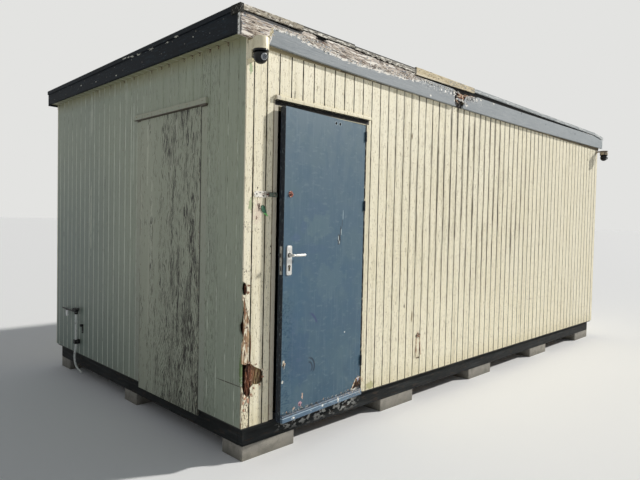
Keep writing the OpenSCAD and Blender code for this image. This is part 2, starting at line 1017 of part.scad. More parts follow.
module hasp_staple() {
    color("#a5442c")
        ajar()
            translate([hinge_x - staple_offset, front_y, hasp_z + staple_rise]) {
                rotate([90, 0, 0])
                    cylinder(r = rose_radius, h = rose_thickness);
                translate([0, weld_depth - rose_thickness, 0])
                    rotate([0, 0, 180])
                        rotate_extrude(angle = 180)
                            translate([loop_radius, 0])
                                circle(r = loop_wire);
            }
}

module roof_panel() {
    color("ivory")
        along_x(left_x - panel_end, right_x + panel_end)
            polygon([
                [front_y - panel_front, roof_z],
                [back_y + panel_front, roof_z],
                [back_y + panel_front, roof_back_z],
                [front_y - panel_front, roof_front_z],
            ]);
}

module roof_felt() {
    color("#4a4d4c")
        along_x(left_x - panel_end, right_x + panel_end)
            polygon([
                [front_y - panel_front, roof_front_z],
                [back_y + panel_front, roof_back_z],
                [back_y + panel_front, trim_back_z],
                [front_y - panel_front, trim_front_z],
            ]);
}

module end_soffits() {
    color("cornsilk")
        for (x = [left_x - panel_end, right_x])
            translate([x, front_y - panel_front, roof_z - soffit_thickness])
                cube([panel_end, cabin_width + 2 * panel_front, soffit_thickness]);
}

module eaves_battens() {
    color("cornsilk")
        for (side = [0, 1])
            mirror([0, side, 0])
                along_x(left_x, right_x)
                    polygon([
                        [front_y, roof_z - batten_height],
                        [front_y - panel_front + batten_chamfer, roof_z - batten_height],
                        [front_y - panel_front, roof_z - batten_height + batten_chamfer],
                        [front_y - panel_front, roof_z],
                        [front_y, roof_z],
                    ]);
}

// Board of the front fascia between two distances from its left end. Each end is a list of
// offsets and shares of the height, the left one from the top down, the right from the bottom up.
module fascia_board(from, to, left_end, right_end, thickness) {
    steps = max(2, ceil((to - from) / 400));
    runs = [for (step = [1 : steps - 1]) from + (to - from) * step / steps];
    translate([left_x - end_overhang, front_y - panel_front, 0])
        rotate([90, 0, 0])
            linear_extrude(height = thickness)
                polygon(concat(
                    [for (corner = left_end) fascia_point(from + corner[0], corner[1])],
                    [for (run = runs) fascia_point(run, 0)],
                    [for (corner = right_end) fascia_point(to + corner[0], corner[1])],
                    [for (step = [len(runs) - 1 : -1 : 0]) fascia_point(runs[step], 1)]
                ));
}

module front_fascia() {
    color("#7f8890") {
        fascia_board(
            0, slanting_run, [[0, 1], [0, 0]], [[-saw_lean, 0], [saw_lean, 1]], fascia_thickness);
        fascia_board(
            slanting_run + saw_gap, rotten_run,
            [[saw_lean, 1], [-saw_lean, 0]],
            [[-60, 0], [-85, 0.12], [-92, 0.6], [-70, 0.72], [-108, 0.93], [-122, 1]],
            fascia_thickness);
        fascia_board(
            rotten_run, fascia_length,
            [
                [310, 1], [288, 0.93], [205, 0.96], [150, 0.87], [98, 0.8],
                [84, 0.62], [66, 0.48], [96, 0.36], [50, 0.13], [58, 0],
            ],
            [[0, 0], [0, 1]],
            fascia_thickness);
        translate([left_x - end_overhang, front_y - panel_front, 0])
            rotate([90, 0, 0])
                linear_extrude(height = fascia_thickness / 2)
                    polygon([
                        for (corner = [
                            [-50, 0.5], [-20, 0.42], [30, 0.44], [52, 0.5], [68, 0.66],
                            [72, 0.8], [20, 0.86], [-30, 0.95], [-54, 0.8],
                        ])
                            fascia_point(rotten_run + corner[0], corner[1])
                    ]);
    }
}

module back_fascia() {
    color("#2a3640")
        translate([left_x - end_overhang, back_y + panel_front, roof_z - front_fascia_drop])
            cube([
                cabin_length + 2 * end_overhang,
                fascia_thickness,
                roof_back_z - roof_z + front_fascia_drop
            ]);
}

module end_fascias() {
    color("#1c2a36")
        for (x = [left_x - end_overhang, right_x + panel_end])
            along_x(x, x + fascia_thickness)
                polygon([
                    [front_y - panel_front, end_fascia_bottom],
                    [back_y + panel_front, end_fascia_bottom],
                    [back_y + panel_front, trim_back_z],
                    [front_y - panel_front, trim_front_z],
                ]);
}

// Length of front edge trim, an angle with a lip down the front and a flange on the felt
module edge_angle(from, to, lip, proud) {
    face_y = front_y - side_overhang - proud;
    back_of_lip = front_y - side_overhang + trim_thickness - lip_proud;
    top = trim_front_z + trim_thickness;
    flange_y = front_y + trim_flange;
    along_x(from, to)
        polygon([
            [face_y, top - lip],
            [back_of_lip, top - lip],
            [back_of_lip, trim_front_z],
            [front_y - panel_front, trim_front_z],
            [flange_y, felt_top_at(flange_y) + felt_seat],
            [flange_y, top],
            [face_y, top],
        ]);
}

// What is left of the rotten length: a ragged strip of the lip, under a thin edge of the flange
module rotten_trim(from, to) {
    top = trim_front_z + rotten_flange;
    translate([0, front_y - side_overhang, 0])
        rotate([90, 0, 0])
            linear_extrude(height = lip_proud)
                polygon(concat(
                    [
                        for (step = [0 : rotten_steps])
                            [
                                from + (to - from) * step / rotten_steps,
                                trim_front_z - trim_thickness + ragged(step)
                                    - rotten_loss * step / rotten_steps
                            ]
                    ],
                    [[to, top], [from, top]]
                ));
    along_x(from, to)
        polygon([
            [front_y - side_overhang - lip_proud, trim_front_z],
            [front_y - panel_front, trim_front_z],
            [front_y + panel_front, felt_top_at(front_y + panel_front) + felt_seat],
            [front_y + panel_front, top],
            [front_y - side_overhang - lip_proud, top],
        ]);
}

// Last length of the lip, which drops to the right corner
module dropping_lip(from, to) {
    top = trim_front_z + trim_thickness;
    translate([0, front_y - side_overhang + trim_thickness - lip_proud, 0])
        rotate([90, 0, 0])
            linear_extrude(height = trim_thickness)
                polygon([
                    [from, top - trim_lip],
                    [to, top - trim_lip - lip_drop],
                    [to, top - lip_drop],
                    [from, top],
                ]);
}

module front_edge_trim() {
    color("#c8b898") {
        newer_to = left_x + newer_trim_from + newer_trim_length;
        drop_from = right_x + end_overhang - corner_run;
        edge_angle(
            left_x - end_overhang - lip_proud + cap_width + saw_gap / 2,
            left_x + first_trim_joint,
            trim_lip,
            lip_proud);
        edge_angle(
            left_x + first_trim_joint + saw_gap, left_x + second_trim_joint, trim_lip, lip_proud);
        edge_angle(
            left_x + second_trim_joint + saw_gap,
            left_x + rotten_trim_from,
            trim_lip - worn_lip,
            lip_proud - worn_face);
        rotten_trim(left_x + rotten_trim_from + saw_gap, left_x + newer_trim_from - saw_gap);
        edge_angle(left_x + newer_trim_from, newer_to, trim_lip, lip_proud + newer_face);
        edge_angle(newer_to + 3 * saw_gap, drop_from, trim_lip, lip_proud);
        dropping_lip(drop_from, right_x + end_overhang);
    }
}

module back_edge_trim() {
    color("#3a4248") {
        inner_y = back_y - trim_flange;
        along_x(left_x - end_overhang, right_x + end_overhang)
            polygon([
                [inner_y, felt_top_at(inner_y) + felt_seat],
                [back_y + panel_front, trim_back_z + felt_seat],
                [back_y + side_overhang, trim_back_z + felt_seat],
                [back_y + side_overhang, trim_back_z + trim_thickness],
                [inner_y, felt_top_at(inner_y) + trim_thickness],
            ]);
    }
}

// Strip along the slope of an end, between two places along X
module end_strip(from, to, near_y, far_y, below, above) {
    along_x(from, to)
        polygon([
            [near_y, felt_top_at(near_y) - below],
            [far_y, felt_top_at(far_y) - below],
            [far_y, felt_top_at(far_y) + above],
            [near_y, felt_top_at(near_y) + above],
        ]);
}

// Each end has a flange on the felt and a lip down the fascia
module end_edge_trims() {
    color("#26323b") {
        near_y = front_y + trim_flange;
        outer_x = left_x - end_overhang - lip_proud;
        for (side = [0, 1])
            mirror([side, 0, 0]) {
                end_strip(
                    outer_x,
                    outer_x + trim_flange,
                    near_y,
                    back_y - trim_flange,
                    -felt_seat,
                    trim_thickness);
                end_strip(
                    outer_x,
                    outer_x + lip_proud,
                    front_y - panel_front,
                    back_y + side_overhang,
                    trim_lip - trim_thickness,
                    trim_thickness);
            }
        corner_cap(outer_x, near_y);
    }
}

// Cap over the left corner, where the end trim runs through to the front
module corner_cap(outer_x, near_y) {
    difference() {
        translate([outer_x, front_y - side_overhang - cap_face, trim_front_z - cap_height])
            cube([
                cap_width,
                near_y - front_y + side_overhang + cap_face,
                cap_height + trim_thickness + cap_rise
            ]);
        translate([
            outer_x + lip_proud,
            front_y - side_overhang,
            trim_front_z - cap_height - cut
        ])
            cube([cap_width, 2 * side_overhang + trim_flange, cap_height + cut]);
    }
}

// Places a piece at the top of a camera
module at_camera(x, top) {
    translate([x, camera_y, top])
        children();
}

// Wall box of the left camera, with an arm to the back of its housing, notched over the batten
module left_bracket() {
    arm_drop = left_housing_height - wall_box_step;
    difference() {
        union() {
            translate([
                left_camera_x - wall_box_width / 2,
                front_y - wall_box_depth,
                left_camera_top - wall_box_height - wall_box_step
            ])
                cube([wall_box_width, wall_box_depth, wall_box_height]);
            translate([left_camera_x - wall_box_width / 2, camera_y, left_camera_top - arm_drop])
                cube([wall_box_width, camera_reach, arm_drop - wall_box_step]);
        }
        at_camera(left_camera_x, left_camera_top)
            translate([0, 0, -left_housing_height])
                cylinder(r = camera_radius + housing_fit, h = left_housing_height + cut);
        at_camera(left_camera_x, left_camera_top)
            translate([0, 0, -left_housing_height - wall_box_height])
                cylinder(r = camera_radius + housing_fit, h = wall_box_height + cut);
        translate([
            left_camera_x - wall_box_width,
            front_y - panel_front,
            roof_z - batten_height - felt_seat
        ])
            cube([2 * wall_box_width, panel_front + cut, batten_height + cut]);
    }
}

// Flat arm of the right camera, from the wall out over its housing
module right_bracket() {
    at_camera(right_camera_x, right_camera_top - arm_thickness) {
        cylinder(r = camera_radius, h = arm_thickness);
        translate([-wall_box_width / 2, 0, 0])
            cube([wall_box_width, camera_reach, arm_thickness]);
    }
}

module camera_brackets() {
    color("cornsilk") {
        left_bracket();
        right_bracket();
    }
}

// Turned housing that hangs from its top, with an eased upper edge
module camera_housing(height) {
    translate([0, 0, -height])
        rotate_extrude()
            polygon([
                [0, 0],
                [camera_radius, 0],
                [camera_radius, height - housing_ease],
                [camera_radius - housing_shoulder, height - housing_shoulder],
                [camera_radius - housing_ease, height],
                [0, height],
            ]);
}

module camera_housings() {
    color("cornsilk") {
        at_camera(left_camera_x, left_camera_top)
            camera_housing(left_housing_height);
        at_camera(right_camera_x, right_camera_top - arm_thickness)
            camera_housing(right_housing_height);
    }
}

// Ball under a housing, with the ring that it turns in and a lens barrel
module camera_ball() {
    translate([0, 0, -ring_height])
        cylinder(r = camera_radius - ring_step, h = ring_height);
    intersection() {
        translate([0, 0, -ball_drop])
            sphere(r = ball_radius);
        translate([0, 0, -3 * ball_radius])
            cylinder(r = camera_radius, h = 3 * ball_radius);
    }
    translate([0, 0, -ball_drop])
        rotate([90 + lens_down, 0, lens_turn])
            cylinder(r = lens_radius, h = lens_reach);
}

module camera_balls() {
    color("#15181a") {
        at_camera(left_camera_x, left_camera_top - left_housing_height)
            camera_ball();
        at_camera(right_camera_x, right_camera_top - arm_thickness - right_housing_height)
            camera_ball();
    }
}

// Bend of the pipe in the plane of the wall, from one angle on by a turn
module pipe_bend(radius, start, turn, pipe) {
    rotate([90, 0, 0])
        rotate([0, 0, start])
            rotate_extrude(angle = turn)
                translate([radius, 0])
                    circle(r = pipe);
}

// Riser with its two bends and the tail that ends under the cabin, each let into the one above,
// and the spout
module tap_pipework() {
    color("lightgray")
        on_left_end()
            translate([riser_offset, -pipe_reach, skirt_z]) {
                turn_z = clamp_height + clamp_step;
                mid_x = long_bend * (1 - cos(bend_down));
                mid_z = turn_z - long_bend * sin(bend_down);
                bend_x = mid_x - short_bend * cos(bend_down);
                bend_z = mid_z - short_bend * sin(bend_down);
                translate([0, 0, turn_z])
                    cylinder(r = pipe_radius, h = riser_top - turn_z);
                translate([long_bend, 0, turn_z])
                    pipe_bend(long_bend, 180, bend_down, pipe_radius);
                translate([bend_x, 0, bend_z])
                    pipe_bend(
                        short_bend,
                        -bend_up,
                        bend_down + bend_up + let_in_turn,
                        pipe_radius - let_in_step);
                translate([
                    bend_x + short_bend * cos(bend_up), 0, bend_z - short_bend * sin(bend_up)
                ])
                    rotate([0, bend_up + 90, 0])
                        rod_x(pipe_radius - 2 * let_in_step, -let_in, short_bend);
                translate([0, 0, collar_height])
                    cylinder(r = pipe_radius + collar_face, h = collar_length);
                translate([spout_offset, 0, riser_top - spout_length])
                    cylinder(r = pipe_radius + spout_face, h = spout_length - branch_radius);
            }
}

// Black valve on the riser, its handle, and the branch that carries the spout
module tap_body() {
    color("#15181a")
        on_left_end()
            translate([riser_offset, -pipe_reach, skirt_z + riser_top]) {
                cylinder(r = valve_radius, h = valve_height);
                translate([0, 0, valve_height / 2])
                    rod_x(body_radius, -valve_back, valve_length - valve_back);
                translate([-handle_back, -handle_width / 2, valve_height - handle_sink])
                    cube([handle_length, handle_width, handle_thickness]);
                difference() {
                    rod_x(branch_radius, 0, branch_length);
                    translate([0, 0, -pipe_radius])
                        cylinder(r = valve_radius, h = pipe_radius);
                }
            }
}

// Clamp round the riser, and a hook on the wall beside it
module pipe_clips() {
    color("#15181a")
        on_left_end()
            translate([0, 0, skirt_z]) {
                difference() {
                    union() {
                        translate([
                            riser_offset - clamp_width / 2,
                            -pipe_reach - clamp_depth,
                            clamp_height + clamp_step
                        ])
                            cube([clamp_width, pipe_reach + clamp_depth, clamp_length]);
                        translate([
                            riser_offset - strap_back,
                            -pipe_reach - strap_depth,
                            clamp_height + clamp_step + clamp_depth
                        ])
                            cube([strap_run, 2 * strap_depth, strap_width]);
                    }
                    translate([riser_offset, -pipe_reach, 0])
                        cylinder(r = pipe_radius + pipe_fit, h = riser_top);
                }
                translate([riser_offset - hook_back, -hook_thickness, hook_height])
                    cube([hook_width, hook_thickness, hook_length]);
                translate([
                    riser_offset - hook_back,
                    -hook_reach,
                    hook_height + hook_length - hook_width
                ])
                    cube([hook_width, hook_reach - hook_thickness, hook_width]);
            }
}

support_blocks();
long_bearers();
cross_joists();
floor_deck();
corner_posts();
front_wall_left();
front_wall_over_door();
front_wall_right();
back_wall();
left_end_wall();
right_end_wall();
front_sheet_left();
front_sheet_over_door();
front_sheet_right();
back_sheet();
left_end_sheet();
right_end_sheet();
blanked_door_frame();
blanked_door_panel();
blanked_door_trim();
door_jambs();
door_head();
door_sill();
door_drip_trim();
door_leaf();
door_weather_bar();
hinge_frame_leaves();
hinge_door_leaves();
lock_forend();
handle_plates();
lever_handle();
lock_cylinder();
hasp_wall_leaf();
hasp_strap();
hasp_staple();
roof_panel();
roof_felt();
end_soffits();
eaves_battens();
front_fascia();
back_fascia();
end_fascias();
front_edge_trim();
back_edge_trim();
end_edge_trims();
camera_brackets();
camera_housings();
camera_balls();
tap_pipework();
tap_body();
pipe_clips();
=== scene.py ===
import bpy
import math
import random
from mathutils import Matrix, Vector


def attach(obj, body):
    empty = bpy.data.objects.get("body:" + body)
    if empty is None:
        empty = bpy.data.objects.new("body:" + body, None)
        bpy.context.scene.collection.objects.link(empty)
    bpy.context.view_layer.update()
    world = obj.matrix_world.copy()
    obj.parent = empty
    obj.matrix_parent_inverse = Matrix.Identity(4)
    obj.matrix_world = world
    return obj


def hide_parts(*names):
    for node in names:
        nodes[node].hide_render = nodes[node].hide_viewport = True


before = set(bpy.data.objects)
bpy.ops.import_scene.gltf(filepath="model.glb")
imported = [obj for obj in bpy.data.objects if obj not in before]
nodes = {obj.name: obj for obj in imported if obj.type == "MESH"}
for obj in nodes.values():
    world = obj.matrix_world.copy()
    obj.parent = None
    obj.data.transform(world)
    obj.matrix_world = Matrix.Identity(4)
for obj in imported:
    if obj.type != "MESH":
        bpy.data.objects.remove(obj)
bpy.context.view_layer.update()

# The camera stands off the front left corner, as high as a person's eye, and looks along both walls.
LOOK_TURN, LOOK_DOWN, LOOK_ROLL = (math.radians(angle) for angle in (44.950, 1.905, 1.232))
ahead = Vector((
    math.sin(LOOK_TURN) * math.cos(LOOK_DOWN),
    math.cos(LOOK_TURN) * math.cos(LOOK_DOWN),
    -math.sin(LOOK_DOWN)))
level = Vector((math.cos(LOOK_TURN), -math.sin(LOOK_TURN), 0))
rise = level.cross(ahead)
rightwards = level * math.cos(LOOK_ROLL) + rise * math.sin(LOOK_ROLL)
upwards = rise * math.cos(LOOK_ROLL) - level * math.sin(LOOK_ROLL)
bpy.ops.object.camera_add(location=(-5.0357, -4.2329, 1.5177))
camera = bpy.context.object
camera.matrix_world = (
    Matrix.Translation(camera.location)
    @ Matrix((rightwards, upwards, -ahead)).transposed().to_4x4())
camera.data.sensor_width = 36
camera.data.lens = 30.727
bpy.context.scene.camera = camera


# Concrete blocks under the bearers: cast in dusty grey concrete with small air holes, laid dry.
# The finish is the material in hand: start_finish begins one, and what follows adds to it.
def start_finish(name):
    global finish
    finish = bpy.data.materials.new(name)
    finish.use_nodes = True
    finish.node_tree.nodes.clear()
    return finish


def add(kind, inputs, out=0, **settings):
    """Adds one node, with its settings and links, and gives back one of its outputs"""
    step = finish.node_tree.nodes.new(kind)
    for name, value in settings.items():
        setattr(step, name, value)
    for socket, value in inputs.items():
        if isinstance(value, bpy.types.NodeSocket):
            finish.node_tree.links.new(value, step.inputs[socket])
        else:
            step.inputs[socket].default_value = value
    return step.outputs[out] if step.outputs else step


def tint(hex_value):
    """Linear colour of an sRGB hex value"""
    parts = [int(hex_value[start:start + 2], 16) / 255 for start in (1, 3, 5)]
    return [part / 12.92 if part < 0.04045 else ((part + 0.055) / 1.055) ** 2.4 for part in parts] + [1.0]


def place():
    return add("ShaderNodeTexCoord", {}, out="Object")


def place_along(axis):
    return add("ShaderNodeSeparateXYZ", {0: place()}, out=axis)


def spread(size_mm, shift=0.0):
    """Object coordinates in which a real size in millimetres, one or one for each axis, is one unit"""
    sizes = [size_mm] * 3 if isinstance(size_mm, (int, float)) else size_mm
    return add("ShaderNodeMapping", {
        "Vector": place(), "Location": (shift, 1.7 * shift, 2.3 * shift),
        "Scale": [1000 / size for size in sizes]})


def patches(size_mm, low, high, most=1.0, detail=2.0, shift=0.0):
    """Mask of blots of a real size: 0 where the noise is under low, and most where it is over high"""
    noise = add("ShaderNodeTexNoise", {
        "Vector": spread(size_mm, shift), "Scale": 1.0, "Detail": detail, "Roughness": 0.55})
    return add("ShaderNodeMapRange", {0: noise, 1: low, 2: high, 3: 0.0, 4: most})


def along(axis, start, end, most=1.0):
    """Mask that rises from 0 to most between two places along an axis"""
    return add("ShaderNodeMapRange", {0: place_along(axis), 1: start, 2: end, 3: 0.0, 4: most})


def lay(ground, coats):
    """Lays each colour over the ground where its mask says, or where the patches of its row are"""
    ground = tint(ground) if isinstance(ground, str) else ground
    for colour, *mask in coats:
        mask = mask[0] if len(mask) == 1 else patches(*mask)
        ground = add("ShaderNodeMix", {0: mask, 6: ground, 7: tint(colour)}, out=2, data_type="RGBA")
    return ground


def surface(colour, rough, relief=None, relief_mm=0.3, **shader):
    """Shader for the laid colours, with a relief of a real depth"""
    sockets = {"Base Color": colour, "Roughness": rough}
    sockets.update({name.replace("_", " "): value for name, value in shader.items()})
    if relief is not None:
        sockets["Normal"] = add("ShaderNodeBump", {"Height": relief, "Distance": relief_mm / 1000})
    add("ShaderNodeOutputMaterial", {"Surface": add("ShaderNodeBsdfPrincipled", sockets)})


def dress(*names):
    """Gives the finish to the CAD's own pieces"""
    for name in names:
        nodes[name].data.materials.clear()
        nodes[name].data.materials.append(finish)


# Cast concrete, as it came from the mould: rough and matt, so nothing in it glints.
start_finish("cast_concrete")
air_holes = patches(5, 0.64, 0.68)
concrete_grit = patches(3, 0.3, 0.7, detail=3)
concrete_colour = lay("#8B8881", [
    ("#A29D92", (160, 160, 90), 0.4, 0.65, 0.7),
    ("#6F6D66", 60, 0.5, 0.7, 0.6),
    ("#5E5B4E", along(2, 0.07, 0.0, most=0.45)),
    ("#4C4A46", air_holes),
])
surface(concrete_colour, 0.92, concrete_grit, 0.8)
dress("support_blocks")


# Bearers and joists: sawn softwood brushed with black bitumen, worn brown along the arrises.
# White paint has run down the front bearer under the doorway, and the sill is of the same timber.
def meet(*masks, how="MULTIPLY"):
    """One mask from several: where they meet or, with MAXIMUM, wherever one of them is. With ADD or
    SUBTRACT it is the sum, or what is left of the first"""
    result = masks[0]
    for mask in masks[1:]:
        result = add("ShaderNodeMath", {0: result, 1: mask}, operation=how)
    return result


start_finish("bitumen_on_sawn_softwood")
saw_marks = patches((40, 40, 3), 0.35, 0.65)
drips = meet(
    patches((34, 34, 26), 0.52, 0.57, detail=4, shift=4), along(0, -1.85, -2.0), along(0, -2.72, -2.60),
    along(2, 0.105, 0.150), along(1, -1.45, -1.5))
bitumen_colour = lay("#181B1C", [
    ("#2A2D2E", (220, 220, 60), 0.45, 0.7, 0.7),
    ("#3A312A", (90, 90, 16), 0.56, 0.7, 0.8),
    ("#45494A", (500, 500, 30), 0.52, 0.75, 0.5),
    ("#A9AAA6", drips),
])
surface(bitumen_colour, 0.85, saw_marks, 0.6, Specular_IOR_Level=0.2)
dress("long_bearers", "cross_joists", "door_sill")


# Floor deck: bare flooring ply, brown with foot traffic, in sheets laid across the joists. Its outer edges,
# under the sheets, are coloured near black.
def outer_edge(reach_x, reach_y):
    """Mask of what lies further out than a place along X or along Y"""
    beyond = []
    for axis, reach in enumerate((reach_x, reach_y)):
        away = add("ShaderNodeMath", {0: place_along(axis)}, operation="ABSOLUTE")
        beyond.append(add("ShaderNodeMapRange", {0: away, 1: reach, 2: reach + 0.001}))
    return meet(*beyond, how="MAXIMUM")


start_finish("bare_flooring_ply")
deck_grain = patches((260, 14, 14), 0.3, 0.7, detail=4)
deck_colour = lay("#A98C66", [
    ("#8B6E4C", deck_grain),
    ("#6E5A44", (600, 400, 400), 0.45, 0.7, 0.6),
    ("#4E3C2C", (30, 6, 6), 0.62, 0.68, 0.8),
    ("#262523", outer_edge(3.000, 1.540)),
])
surface(deck_colour, 0.7, deck_grain, 0.25)
dress("floor_deck")


# Corner posts: sawn softwood, nailed between the panels. The front left one has rotted behind the
# holes in the sheets.
# The wood is dark and wet, with paler strands along the grain.
rotten_wood = start_finish("rotten_softwood")
surface(lay("#24120D", [
    ("#4E2E1E", (7, 7, 60), 0.45, 0.62, 1.0, 3),
    ("#8A5E3E", (4, 4, 34), 0.60, 0.66, 1.0, 3, 2),
    ("#1F100C", (16, 16, 24), 0.56, 0.64, 1.0, 2, 5),
]), 0.9, patches((5, 5, 50), 0.35, 0.65, detail=3), 2.0)
dress("corner_posts")


# Wall panels: softwood frames lined with white-painted board. The outer side, behind the sheets,
# is bare, and shows through the hole at the corner.
start_finish("white_painted_lining_board")
lining_colour = lay("#D9D6CB", [
    ("#C8C4B6", (900, 900, 500), 0.45, 0.7, 0.5),
    ("#A8A292", (120, 120, 300), 0.58, 0.75, 0.35),
    ("#8F8872", along(2, 0.5, 0.24, most=0.35)),
    ("#4A2A1C", along(1, -1.532, -1.538)),
    ("#9A7048", meet(along(1, -1.532, -1.538), patches((5, 5, 50), 0.42, 0.6, detail=3))),
])
surface(lining_colour, 0.6, patches((2, 2, 9), 0.3, 0.7), 0.12)
dress(
    "front_wall_left", "front_wall_over_door", "front_wall_right", "back_wall", "left_end_wall",
    "right_end_wall")

# Roof panel: ply on framing, painted white underneath; its outer edges, in the gaps behind the fascias, are
# painted near black as painted shade.
start_finish("white_painted_roof_ply")
surface(lay("#D6D3C8", [
    ("#C6C2B4", (900, 900, 500), 0.45, 0.7, 0.5),
    ("#A8997A", 160, 0.62, 0.7, 0.5),
    ("#14120F", outer_edge(3.066, 1.560)),
]), 0.65, patches((6, 40, 6), 0.3, 0.7), 0.15)
dress("roof_panel")


# Grooved sheets: V-grooved exterior ply under old cream gloss paint, pinned to the frames.
# Dirt lies in the grooves of the back and right end. On the front they are dark with dirt and painted shade,
# and on the left end they are light, washed clean and with a painted highlight. The face veneer has opened in
# short upright checks, and rain has left streaks under the eaves.
GROOVE_PITCH = 0.1016
FRONT_START, END_START = -2.957, -1.473
FRONT_FACE, END_FACE = -1.555, -3.015
SOFFIT_NAILS = (
    0.197, 0.302, 0.399, 0.521, 0.612, 0.718, 0.924, 1.030, 1.181, 1.463, 1.639, 1.890, 2.161)


def from_groove(axis, first):
    """Distance to the nearest groove of a wall whose grooves start at first"""
    run = meet(place_along(axis), first - 100 * GROOVE_PITCH, how="SUBTRACT")
    return add("ShaderNodeMath", {0: run, 1: GROOVE_PITCH / 2}, operation="PINGPONG")


def board_tone(axis, first, most):
    """Mask that gives each board between two grooves its own slight tone"""
    boards = meet(meet(place_along(axis), first, how="SUBTRACT"), 1 / GROOVE_PITCH)
    board = add("ShaderNodeMath", {0: boards}, operation="FLOOR")
    tone = add("ShaderNodeTexWhiteNoise", {"W": board}, noise_dimensions="1D")
    return add("ShaderNodeMapRange", {0: tone, 1: 0.2, 2: 1.0, 3: 0.0, 4: most})


def cream_paint(name, axis, first, groove_colour, groove_most, check_low, extra, groove_reach):
    """Old cream gloss on grooved ply, for a wall that runs along an axis"""
    start_finish(name)
    wobble = add("ShaderNodeTexNoise", {"Vector": spread((30, 30, 70)), "Scale": 1.0, "Detail": 2.0})
    strayed = add("ShaderNodeMath", {
        0: wobble, 1: 0.0060, 2: from_groove(axis, first)}, operation="MULTIPLY_ADD")
    nearer = meet(strayed, groove_reach(), how="SUBTRACT")
    in_groove = add("ShaderNodeMapRange", {0: nearer, 1: 0.0088, 2: 0.0068, 3: 0.0, 4: groove_most})
    checks = patches((4, 4, 60), check_low, check_low + 0.035, detail=2)
    hairs = patches((5, 5, 26), check_low - 0.01, check_low + 0.02, detail=3, shift=13)
    grain = patches((6, 6, 110), 0.3, 0.7, detail=3)
    colour = lay("#F3ECD2", [
        ("#E6DEC0", board_tone(axis, first, 0.5)),
        ("#ECE1BE", (700, 700, 900), 0.4, 0.7, 0.6),
        ("#F0EAD4", grain),
        ("#CFC5A5", (16, 16, 420), 0.5, 0.72, 0.5, 3),
        ("#B5AC8C", (40, 40, 1200), 0.54, 0.72, 0.45, 2, 7),
        ("#C4B88C", along(2, 0.38, 0.23, most=0.4)),
        ("#F4EFDB", (9, 9, 30), 0.6, 0.66, 0.8, 3, 17),
        ("#9A8A66", hairs),
        ("#75633F", checks),
        *extra(),
        (groove_colour, in_groove),
    ])
    relief = meet(grain, checks, how="SUBTRACT")
    surface(colour, 0.48, relief, 0.35, Specular_IOR_Level=0.4)


def blot(middle, reach, ragged=0.35, grit_mm=12, most=1.0):
    """Mask of one ragged spot about a point, with its reach along each axis in metres"""
    near = add("ShaderNodeMapping", {
        "Vector": place(), "Location": [-a / b for a, b in zip(middle, reach)],
        "Scale": [1 / b for b in reach]})
    away = add("ShaderNodeVectorMath", {0: near}, out="Value", operation="LENGTH")
    noise = add("ShaderNodeTexNoise", {"Vector": spread(grit_mm), "Scale": 1.0, "Detail": 3.0})
    edge = add("ShaderNodeMath", {0: noise, 1: ragged * 4, 2: away}, operation="MULTIPLY_ADD")
    return add("ShaderNodeMapRange", {0: edge, 1: 1.0 + 2 * ragged, 2: 0.8 + 2 * ragged, 3: 0.0, 4: most})


def spots(axis, level, *rows):
    """Coats for ragged spots on a wall that an axis meets at a level. Each row has the spot's colour,
    its run and height, its reach along both and, where they aren't the usual, ragged, grit_mm and most"""
    coats = []
    for colour, run, height, wide, high, *more in rows:
        middle, reach = [run, run, height], [wide, wide, high]
        middle[axis], reach[axis] = level, 0.03
        coats.append((colour, blot(middle, reach, *more)))
    return coats


def dirt_and_shade_spread():
    """How much wider the dirt and painted shade lie in the grooves, in metres: most towards the far end of
    the front
    """
    return along(0, -1.4, 2.6, most=0.0018)


def faded_upwards():
    """How much narrower the light grooves show, which are washed and carry a painted highlight, in metres:
    near the eaves and near the corner
    """
    return meet(along(2, 2.0, 2.45, most=-0.0014), along(1, -0.1, -1.2, most=-0.0022), how="ADD")


def even_grooves():
    return along(2, 2.0, 0.3, most=0.0006)


